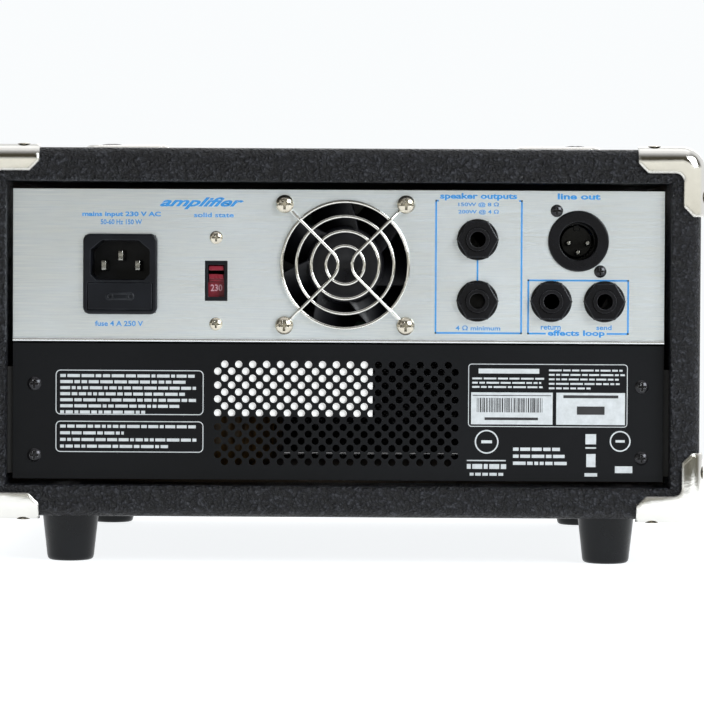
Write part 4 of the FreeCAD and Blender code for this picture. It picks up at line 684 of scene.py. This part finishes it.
for x, z in (((59.3, 63.7), (50.6, 51.8)), ((114.6, 118.4), (51.2, 52.2)), ((102.2, 106.6), (50.4, 54.6)),
             ((102.6, 106.4), (41.0, 46.4)), ((101.9, 107.1), (37.1, 38.5)), ((114.4, 121.6), (38.6, 41.4)),
             ((53.4, 69.4), (43.2, 43.7)), ((102.2, 106.6), (48.6, 49.2))):
    line(bm, x, z)
plain_rows(bm, (53.4, 69.6), 42.0, 4.0, 2.0, (1.0,), 31)
plain_rows(bm, (54.6, 68.4), 38.4, 4.0, 1.2, (1.0,), 32)
white_ink = ink("white_print", (0.56, 0.59, 0.61))
make_piece(bm, "lower_panel_print", white_ink)

# Over the white boxes: upright strokes of uneven width in place of a bar code, and plain bars beside them.
OVERPRINT_FACE = PANEL_FACE - 0.05
bm = bmesh.new()
chance = random.Random(4)
start = 57.4
while start < 84.6:
    thick = chance.choice((0.18, 0.18, 0.32, 0.5))
    line(bm, (start, start + thick), (63.4, 69.3), OVERPRINT_FACE)
    start += thick + chance.choice((0.2, 0.34, 0.5))
for x, z in (((55.6, 88.0), (70.2, 70.5)), ((60.6, 82.6), (60.2, 61.3)), ((93.0, 115.6), (69.4, 70.6)),
             ((98.6, 110.0), (62.6, 66.0))):
    line(bm, x, z, OVERPRINT_FACE)
black_ink = ink("black_print", (0.02, 0.02, 0.022))
make_piece(bm, "label_marks", black_ink)

white_card = worked_finish("white_card", (0.90, 0.91, 0.90), (0.96, 0.96, 0.95), 0.5, cloud=70, grain=1500, relief=0.03,
                           radius=0.1, change=0.04)
# A faint glow stands for the light that reaches the card past the vents.
plug(white_card.node_tree.nodes["Principled BSDF"], Emission_Color=(1, 1, 1, 1), Emission_Strength=0.28)
give(white_card, "insulation_card")


# ---------------------------------------------------------------- chassis
# A tray folded from zinc-plated sheet steel, bolted to the side battens through four cross-head bolts. The
# potentiometers' pressed cans behind the front flange are plated the same way.

zinc = worked_finish("zinc_plating", (0.50, 0.51, 0.52), (0.75, 0.76, 0.76), 0.36, metal=1.0, cloud=55, grain=900,
                     relief=0.03, radius=0.3, change=0.18, polish=0.12)
give(zinc, "chassis_tray", "potentiometers")
give(nickel, "chassis_bolts")


# ---------------------------------------------------------------- fan
# A sixty-millimetre axial fan moulded in glass-filled black plastic: seven curved blades on a domed hub
# with a printed disc. It is screwed behind the panel, under a welded guard of plated spring wire.

FAN_PLACE = (2.8, -117.1, 123.75)
BLADES = 7
BLADE_MIDDLE, BLADE_CENTRE = 21.6, 10.4  # a blade's middle, outwards from the axis and along it
fan_plastic = worked_finish("fan_moulding", (0.007, 0.007, 0.009), (0.05, 0.05, 0.055), 0.33, cloud=120, grain=2200,
                            relief=0.02, radius=0.25, change=0.2, shine=0.3)
give(fan_plastic, "fan_frame")

hub = turned([(0, 0.25), (4.0, 0.2), (4.4, 0.0), (13.8, 0.25), (15.2, 0.8), (16.0, 2.2), (16.0, 21.0), (14.6, 21.0),
              (14.6, 1.8), (3.0, 1.8), (1.5, 1.9), (1.5, 21.0), (0, 21.0)], "y", 72)
bm = repeated(hub, [FAN_PLACE])
blade = bmesh.new()
bmesh.ops.create_grid(blade, x_segments=8, y_segments=10, size=0.5,
                      matrix=Matrix.Translation((BLADE_MIDDLE * MM, BLADE_CENTRE * MM, 0))
                      @ Matrix.Diagonal((12.4 * MM, 19 * MM, 1, 1)))
for vert in blade.verts:
    out, depth = vert.co.x / MM, (vert.co.y / MM - BLADE_CENTRE) / 9.5
    swing = depth * (7.4 + 0.09 * (out - 15)) + 1.7 * (1 - depth * depth)
    angle = swing / out * (1.0 + 0.25 * (27.8 - out) / 12.8)
    vert.co = Vector((out * math.cos(angle), BLADE_CENTRE + depth * 9.0, out * math.sin(angle))) * MM
bmesh.ops.recalc_face_normals(blade, faces=blade.faces)
bmesh.ops.solidify(blade, geom=blade.faces[:], thickness=1.1 * MM)
rounded(blade, [edge for edge in blade.edges if edge.calc_face_angle(0) > 1.0], 0.3 * MM, 2)
mesh = bpy.data.meshes.new("blade")
blade.to_mesh(mesh)
blade.free()
for number in range(BLADES):
    start = len(bm.verts)
    bm.from_mesh(mesh)
    bm.verts.ensure_lookup_table()
    fresh = bm.verts[start:]
    bmesh.ops.rotate(bm, verts=fresh, cent=(0, 0, 0), matrix=Matrix.Rotation(2 * math.pi / BLADES * number, 3, "Y"))
    bmesh.ops.translate(bm, verts=fresh, vec=Vector(FAN_PLACE) * MM)
bpy.data.meshes.remove(mesh)
make_piece(bm, "fan_wheel_moulded", fan_plastic, ["fan_impeller"], body="fan_wheel")

spring_wire = worked_finish("plated_wire", (0.78, 0.77, 0.73), (0.95, 0.94, 0.9), 0.17, metal=1.0, cloud=300,
                            grain=2500, relief=0.01, radius=0.1, change=0.1)
give(spring_wire, "fan_guard")
give(nickel, "fan_screws")


# ---------------------------------------------------------------- mains inlet and fuse drawer
# A black thermoplastic inlet pressed into the panel, with three plated contact pins in its socket. Below,
# a small drawer with a raised fuse sign pulls out with the fuse in a clip at its far end.

inlet_plastic = worked_finish("inlet_moulding", (0.005, 0.006, 0.009), (0.06, 0.066, 0.075), 0.36, cloud=80, grain=2600,
                              relief=0.03, radius=0.5, change=0.2, shine=0.24)
eased_piece("mains_inlet_body", 0.22, "inlet_moulded", inlet_plastic)
plated = worked_finish("plated_contact", (0.36, 0.355, 0.33), (0.80, 0.79, 0.75), 0.22, metal=1.0, cloud=400,
                       grain=3000, relief=0.02, radius=0.3, change=0.14)
eased_piece("mains_inlet_pins", 0.3, "inlet_contacts", plated, 3, crease=50, even=False)

DRAWER_FACE, SIGN_ENDS, SIGN_Z = -123.5, (-94.2, -85.6), 110.4
bm = eased_copy("fuse_drawer", 0.2)
for x in SIGN_ENDS:
    ring = turned([(1.5, 0.3), (1.5, 0.0), (1.1, -0.28), (0.8, -0.28), (0.8, 0.3), (1.5, 0.3)], "y", 32)
    join(bm, repeated(ring, [(x, DRAWER_FACE, SIGN_Z)]))
for low, high in ((109.1, 109.5), (111.3, 111.7)):
    block(bm, SIGN_ENDS, (DRAWER_FACE - 0.22, DRAWER_FACE + 0.3), (low, high))
make_piece(bm, "fuse_drawer_moulded", inlet_plastic, ["fuse_drawer"], body="fuse_drawer", crease=40,
           even=True)

glass, tree, shader, where = new_finish("fuse_glass_and_caps")
FUSE_X, GLASS_HALF = -89.9 * MM, 5 * MM
split = node(tree, "SeparateXYZ", where)
from_middle = maths(tree, "ABSOLUTE", maths(tree, "ADD", split.outputs["X"], -FUSE_X))
cap = maths(tree, "GREATER_THAN", from_middle, GLASS_HALF)
marks = use_group(tree, surface, Vector=where, Cloud=300.0, Grain=2500.0)
tint = soften_between(tree, marks["Cloud"], (0.62, 0.70, 0.70), (0.80, 0.86, 0.86))
plug(shader, Base_Color=soften_between(tree, cap, tint, (0.76, 0.74, 0.68)), Metallic=cap,
     Roughness=ranged(tree, marks["Grain"], 0.08, 0.2))
give(glass, "fuse")


# ---------------------------------------------------------------- voltage selector
# A slide switch behind the panel, seen through a small black surround: a deep red slider with two
# finger ridges and the chosen voltage stamped below them.

SELECTOR_X, SELECTOR_Z, SLIDER_FACE = -50.4, 117.0, -118.0
eased_piece("voltage_selector_body", 0.2, "selector_surround", inlet_plastic)
# The red slider's recesses take a deep painted shade.
red_plastic = worked_finish("red_slider", (0.20, 0.006, 0.020), (0.55, 0.07, 0.10), 0.32, cloud=300, grain=2800,
                            relief=0.03, radius=0.3, change=0.16, recess_shade=0.5)
eased_piece("voltage_selector_slider", 0.18, "selector_slider_moulded", red_plastic,
            body="selector_slider")
bm = bmesh.new()
lettering(bm, "230", SELECTOR_X, SELECTOR_Z - 2.9, 4.8, 2.8, face=SLIDER_FACE)
stamp_ink = ink("stamped_number", (0.60, 0.34, 0.40))
make_piece(bm, "selector_number", stamp_ink, body="selector_slider")
give(nickel, "voltage_selector_screws")


# ---------------------------------------------------------------- line output
# A black three-pin male connector set into the panel from behind: a deep round collar, a moulded insert
# with its keyway, and three silver-plated pins. Two black screws on a diagonal hold it.

XLR_X, XLR_Z = 98.8, 134.05
black_plastic = worked_finish("black_moulding", (0.0035, 0.0035, 0.005), (0.12, 0.12, 0.13), 0.26, cloud=110,
                              grain=2400, relief=0.02, radius=0.35, change=0.2, shine=0.24)
eased_piece("xlr_shell", 0.3, "line_output_collar", black_plastic, 3)
bm = turned([(0, 0.0), (6.2, 0.0), (6.9, 0.7), (7.0, 4.2), (0, 4.2)], "y", 64)
bm = repeated(bm, [(XLR_X, -106.0, XLR_Z)])
block(bm, (XLR_X - 1.2, XLR_X + 1.2), (-106.4, -103.0), (XLR_Z + 4.6, XLR_Z + 6.6))
make_piece(bm, "line_output_insert", black_plastic)
pin = turned([(0, 0.0), (0.7, 0.12), (1.1, 0.6), (1.2, 1.3), (1.2, 21.5), (0, 21.5)], "y", 28)
bm = repeated(pin, [(XLR_X + x, -118.5, XLR_Z + z) for x, z in ((-3.9, -0.7), (3.9, -0.7), (0, -4.6))])
make_piece(bm, "line_output_pins", plated, ["xlr_pins"])
give(black_oxide, "xlr_screws")


# ---------------------------------------------------------------- jacks
# Four quarter-inch jacks on the rear and one on the front. Each has a moulded body behind the steel, a
# threaded nose through the panel, and a black hexagonal nut with a round flange.

# The nuts' edges take the lighter edge colour: painted highlight on the hexagons as well as wear.
eased_piece("jack_nuts", 0.3, "jack_nuts_moulded", black_plastic, 3)
give(black_plastic, "speaker_jack_upper", "speaker_jack_lower", "return_jack", "send_jack", "input_jack")


# ---------------------------------------------------------------- front control panel
# The same brushed aluminium over the front flange, with the controls' names and dial numbers printed
# in black under a satin lacquer.

CONTROL_FACE, CONTROL_Z = 108.0, 123.2
KNOBS = (("gain", -68), ("bass", -34), ("middle", 0), ("treble", 34), ("volume", 68))
PAD_X, CAPTION_Z, CAPTION_TALL = -93, 104.0, 2.6
DIAL_START, DIAL_STEP, NUMBER_ROUND, TICK_ROUND = -150, 30, 13.6, 11.3
give(aluminium, "front_control_panel")
bm = bmesh.new()
for name, x in KNOBS:
    lettering(bm, name, x, CAPTION_Z, 2.1 * len(name), CAPTION_TALL, face=CONTROL_FACE)
    for mark in range(11):
        angle = math.radians(DIAL_START + DIAL_STEP * mark)
        spot, tick = (Vector((x - away * math.sin(angle), CONTROL_Z + away * math.cos(angle)))
                      for away in (NUMBER_ROUND, TICK_ROUND))
        lettering(bm, str(mark), spot.x, spot.y, 1.1 if mark < 10 else 2.0, 1.8, face=CONTROL_FACE)
        made = line(bm, (-0.15, 0.15), (-0.6, 0.6), CONTROL_FACE)
        bmesh.ops.rotate(bm, verts=made, cent=(0, CONTROL_FACE * MM, 0),
                         matrix=Matrix.Rotation(angle, 3, "Y").inverted())
        bmesh.ops.translate(bm, verts=made, vec=(tick.x * MM, 0, tick.y * MM))
for words, x, z, wide in (("input", -114, CAPTION_Z, 9.0), ("pad", PAD_X, CAPTION_Z, 6.4), ("on", 92, 130.0, 3.6),
                          ("power", 114, CAPTION_Z, 10.4)):
    lettering(bm, words, x, z, wide, CAPTION_TALL, face=CONTROL_FACE)
for z in (96.2, 152.4):
    line(bm, (-133, 133), (z, z + 0.5), CONTROL_FACE)
make_piece(bm, "control_panel_print", black_ink)


# ---------------------------------------------------------------- knobs
# Five moulded black knobs on steel shafts: a fluted grip on a flared skirt, a shallow dished top and a
# white line filled into it.

KNOB_PROFILE = [(3.02, 13.2), (0, 13.2), (0, 15.7), (5.2, 15.7), (6.2, 16.0), (7.0, 16.0), (7.7, 15.5),
                (8.0, 14.6), (8.4, 4.9), (8.9, 4.0), (9.9, 3.3), (10.0, 2.9), (10.0, 1.5), (9.8, 1.2), (6.6, 1.2),
                (6.4, 1.4), (6.4, 5.0), (3.02, 5.0), (3.02, 13.2)]
SHAFT_PROFILE = [(0, -10.2), (2.6, -10.2), (3.0, -9.8), (3.0, 12.6), (2.6, 13.0), (0, 13.0)]
FLUTES, FLUTE_DEPTH = 24, 0.035
GRIP_ROUND, GRIP_LENGTH = (7.6, 8.75), (4.2, 14.9)
knob_plastic = worked_finish("knob_moulding", (0.006, 0.006, 0.008), (0.07, 0.07, 0.075), 0.26, cloud=130, grain=2600,
                             relief=0.02, radius=0.3, change=0.2)
shaft_steel = worked_finish("turned_shaft", (0.62, 0.62, 0.60), (0.9, 0.9, 0.88), 0.2, metal=1.0, cloud=300, grain=2600,
                            relief=0.02, radius=0.2)
for name, x in KNOBS:
    knob = turned(KNOB_PROFILE, "y", 144)
    for vert in knob.verts:
        radius = math.hypot(vert.co.x, vert.co.z) / MM
        if GRIP_ROUND[0] < radius < GRIP_ROUND[1] and GRIP_LENGTH[0] * MM < vert.co.y < GRIP_LENGTH[1] * MM:
            turn = math.atan2(vert.co.z, vert.co.x) * FLUTES
            pinch = 1 - FLUTE_DEPTH * (0.5 - 0.5 * math.cos(turn)) ** 2
            vert.co.x *= pinch
            vert.co.z *= pinch
    place = [(x, CONTROL_FACE, CONTROL_Z)]
    make_piece(repeated(knob, place), f"{name}_knob_moulded", knob_plastic, [f"{name}_knob"],
               body=f"{name}_knob", crease=40)
    make_piece(repeated(turned(SHAFT_PROFILE, "y", 40), place), f"{name}_shaft", shaft_steel,
               body=f"{name}_knob")
    bm = bmesh.new()
    block(bm, (x - 0.45, x + 0.45), (CONTROL_FACE + 15.6, CONTROL_FACE + 16.12), (CONTROL_Z + 1.2, CONTROL_Z + 7.4))
    rounded(bm, bm.edges[:], 0.12 * MM, 2)
    make_piece(bm, f"{name}_pointer", white_ink, body=f"{name}_knob")


# ---------------------------------------------------------------- push switch, lamp and power switch
# A black push button that latches, a blue lens over a lamp, and a rocker that tips in a black bezel
# with its two positions marked.

give(black_plastic, "pad_switch_body")
cap = turned([(0, -9.5), (3.6, -9.5), (4.0, -9.0), (4.0, 4.3), (3.7, 4.8), (3.0, 5.0), (1.6, 4.75), (0, 4.65)], "y", 56)
make_piece(repeated(cap, [(PAD_X, CONTROL_FACE, CONTROL_Z)]), "pad_button_moulded", black_plastic,
           ["pad_button"], body="pad_button")
lens, tree, shader, where = new_finish("blue_lens")
marks = use_group(tree, surface, Vector=where, Cloud=400.0, Grain=3000.0)
plug(shader, Base_Color=soften_between(tree, marks["Cloud"], (0.02, 0.09, 0.5), (0.06, 0.22, 0.85)),
     Emission_Color=soften_between(tree, marks["Cloud"], (0.01, 0.06, 0.5), (0.03, 0.16, 0.9)),
     Roughness=ranged(tree, marks["Grain"], 0.06, 0.16), Emission_Strength=0.5, Coat_Weight=0.6)
give(lens, "indicator_lamp")
eased_piece("power_switch_housing", 0.3, "power_switch_bezel", black_plastic, 3)
eased_piece("power_rocker", 0.35, "power_rocker_moulded", black_plastic, 3, body="power_rocker")


# ---------------------------------------------------------------- grille
# Four black-stained bars under a woven black and silver cloth, pulled tight over the frame's face and
# stapled behind it. The frame pushes into the mouth below the control panel.

GRILLE_FACE, GRILLE_LOW, GRILLE_HIGH, GRILLE_HALF = 118.0, 33.4, 91.2, 134.0
SAG = 0.25  # how far the cloth sinks between the bars
give(blackened, "grille_frame")
bm = bmesh.new()
size = Matrix.Diagonal((2 * GRILLE_HALF * MM, (GRILLE_HIGH - GRILLE_LOW) * MM, 1, 1))
centre = Matrix.Translation((0, (GRILLE_FACE + 0.85) * MM, (GRILLE_LOW + GRILLE_HIGH) / 2 * MM))
bmesh.ops.create_grid(bm, x_segments=96, y_segments=24, size=0.5, calc_uvs=False,
                      matrix=centre @ Matrix.Rotation(-math.pi / 2, 4, "X") @ size)
for vert in bm.verts:
    edge_x = max(0.0, 1 - (GRILLE_HALF - abs(vert.co.x) / MM) / 14)
    edge_z = max(0.0, 1 - min(vert.co.z / MM - GRILLE_LOW, GRILLE_HIGH - vert.co.z / MM) / 10)
    inside = 1 - max(edge_x, edge_z)
    vert.co.y -= (SAG * inside - 0.05 * math.sin(vert.co.x * 210) * inside) * MM
weave = bm.loops.layers.uv.new("weave")
for face in bm.faces:
    for loop in face.loops:
        loop[weave].uv = (loop.vert.co.x, loop.vert.co.z)
bmesh.ops.recalc_face_normals(bm, faces=bm.faces)
if bm.faces[:][0].normal.y < 0:
    bmesh.ops.reverse_faces(bm, faces=bm.faces)
bmesh.ops.solidify(bm, geom=bm.faces[:], thickness=0.5 * MM)

THREAD = 1.15 * MM
cloth, tree, shader, where = new_finish("woven_grille_cloth")
uv = node(tree, "UVMap", settings={"uv_map": "weave"}).outputs[0]
warp, weft = (node(tree, "TexWave", Vector=uv, Scale=math.pi / 10 / THREAD, Distortion=0.4, Detail=2.0,
                   settings={"bands_direction": direction}) for direction in "XY")
cells = node(tree, "TexChecker", Vector=uv, Scale=1 / THREAD)
over = soften_between(tree, cells.outputs["Fac"], warp.outputs["Color"], weft.outputs["Color"])
marks = use_group(tree, surface, Vector=where, Cloud=16.0, Grain=3200.0)
thread = soften_between(tree, cells.outputs["Fac"], (0.016, 0.016, 0.018), (0.34, 0.345, 0.36))
shade = soften_between(tree, ranged(tree, marks["Cloud"], 0.0, 0.35), thread, (0.10, 0.10, 0.105))
plug(shader, Base_Color=soften_between(tree, over, (0.008, 0.008, 0.009), shade),
     Roughness=ranged(tree, marks["Grain"], 0.6, 0.85), Normal=relief_of(tree, over, 0.3), Sheen_Weight=0.25)
cloth_piece = make_piece(bm, "grille_cloth_stretched", cloth, ["grille_cloth"])


# ---------------------------------------------------------------- transformer and boards
# A toroidal transformer in amber tape bolted to the floor, and two printed boards, their capacitors and a
# black anodised heat sink on the tray. They are hidden when the panels are on.

tape, tree, shader, where = new_finish("wound_tape")
TAPE_TURNS = 60.0
centred = node(tree, "VectorMath", where, (0.072, -0.005, -0.052), settings={"operation": "ADD"})
split = node(tree, "SeparateXYZ", centred.outputs[0])
around = maths(tree, "ARCTAN2", split.outputs["Y"], split.outputs["X"])
turns = maths(tree, "SINE", maths(tree, "MULTIPLY", around, TAPE_TURNS))
marks = use_group(tree, surface, Vector=where, Cloud=40.0, Grain=1200.0)
wrapped = soften_between(tree, ranged(tree, turns, 0.0, 1.0, -1.0, 1.0), (0.05, 0.026, 0.006), (0.17, 0.10, 0.025))
plug(shader, Base_Color=soften_between(tree, marks["Cloud"], wrapped, (0.12, 0.07, 0.018)),
     Roughness=ranged(tree, marks["Cloud"], 0.22, 0.4), Normal=relief_of(tree, turns, 0.3, 0.8))
give(tape, "toroidal_transformer")
give(nickel, "transformer_bolt")

board, tree, shader, where = new_finish("green_circuit_board")
tracks = node(tree, "TexBrick", Vector=where, Scale=90.0, Mortar_Size=0.03, Brick_Width=0.9, Row_Height=0.3)
marks = use_group(tree, surface, Vector=where, Cloud=60.0, Grain=1500.0)
mask = soften_between(tree, marks["Cloud"], (0.006, 0.09, 0.035), (0.012, 0.15, 0.06))
plug(shader, Base_Color=soften_between(tree, tracks.outputs["Fac"], mask, (0.04, 0.26, 0.12)),
     Roughness=ranged(tree, marks["Cloud"], 0.25, 0.42), Normal=relief_of(tree, tracks.outputs["Fac"], 0.05, 0.6))
give(board, "main_circuit_board", "control_board")

sleeve = worked_finish("capacitor_sleeve", (0.012, 0.02, 0.06), (0.12, 0.14, 0.2), 0.28, cloud=60, grain=1800,
                       relief=0.03, radius=0.4, change=0.25)
give(sleeve, "filter_capacitors")
anodised = worked_finish("black_anodising", (0.02, 0.02, 0.024), (0.3, 0.3, 0.3), 0.4, metal=0.7, cloud=40, grain=1100,
                         relief=0.03, radius=0.3, change=0.25)
give(anodised, "heat_sink")


low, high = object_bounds()
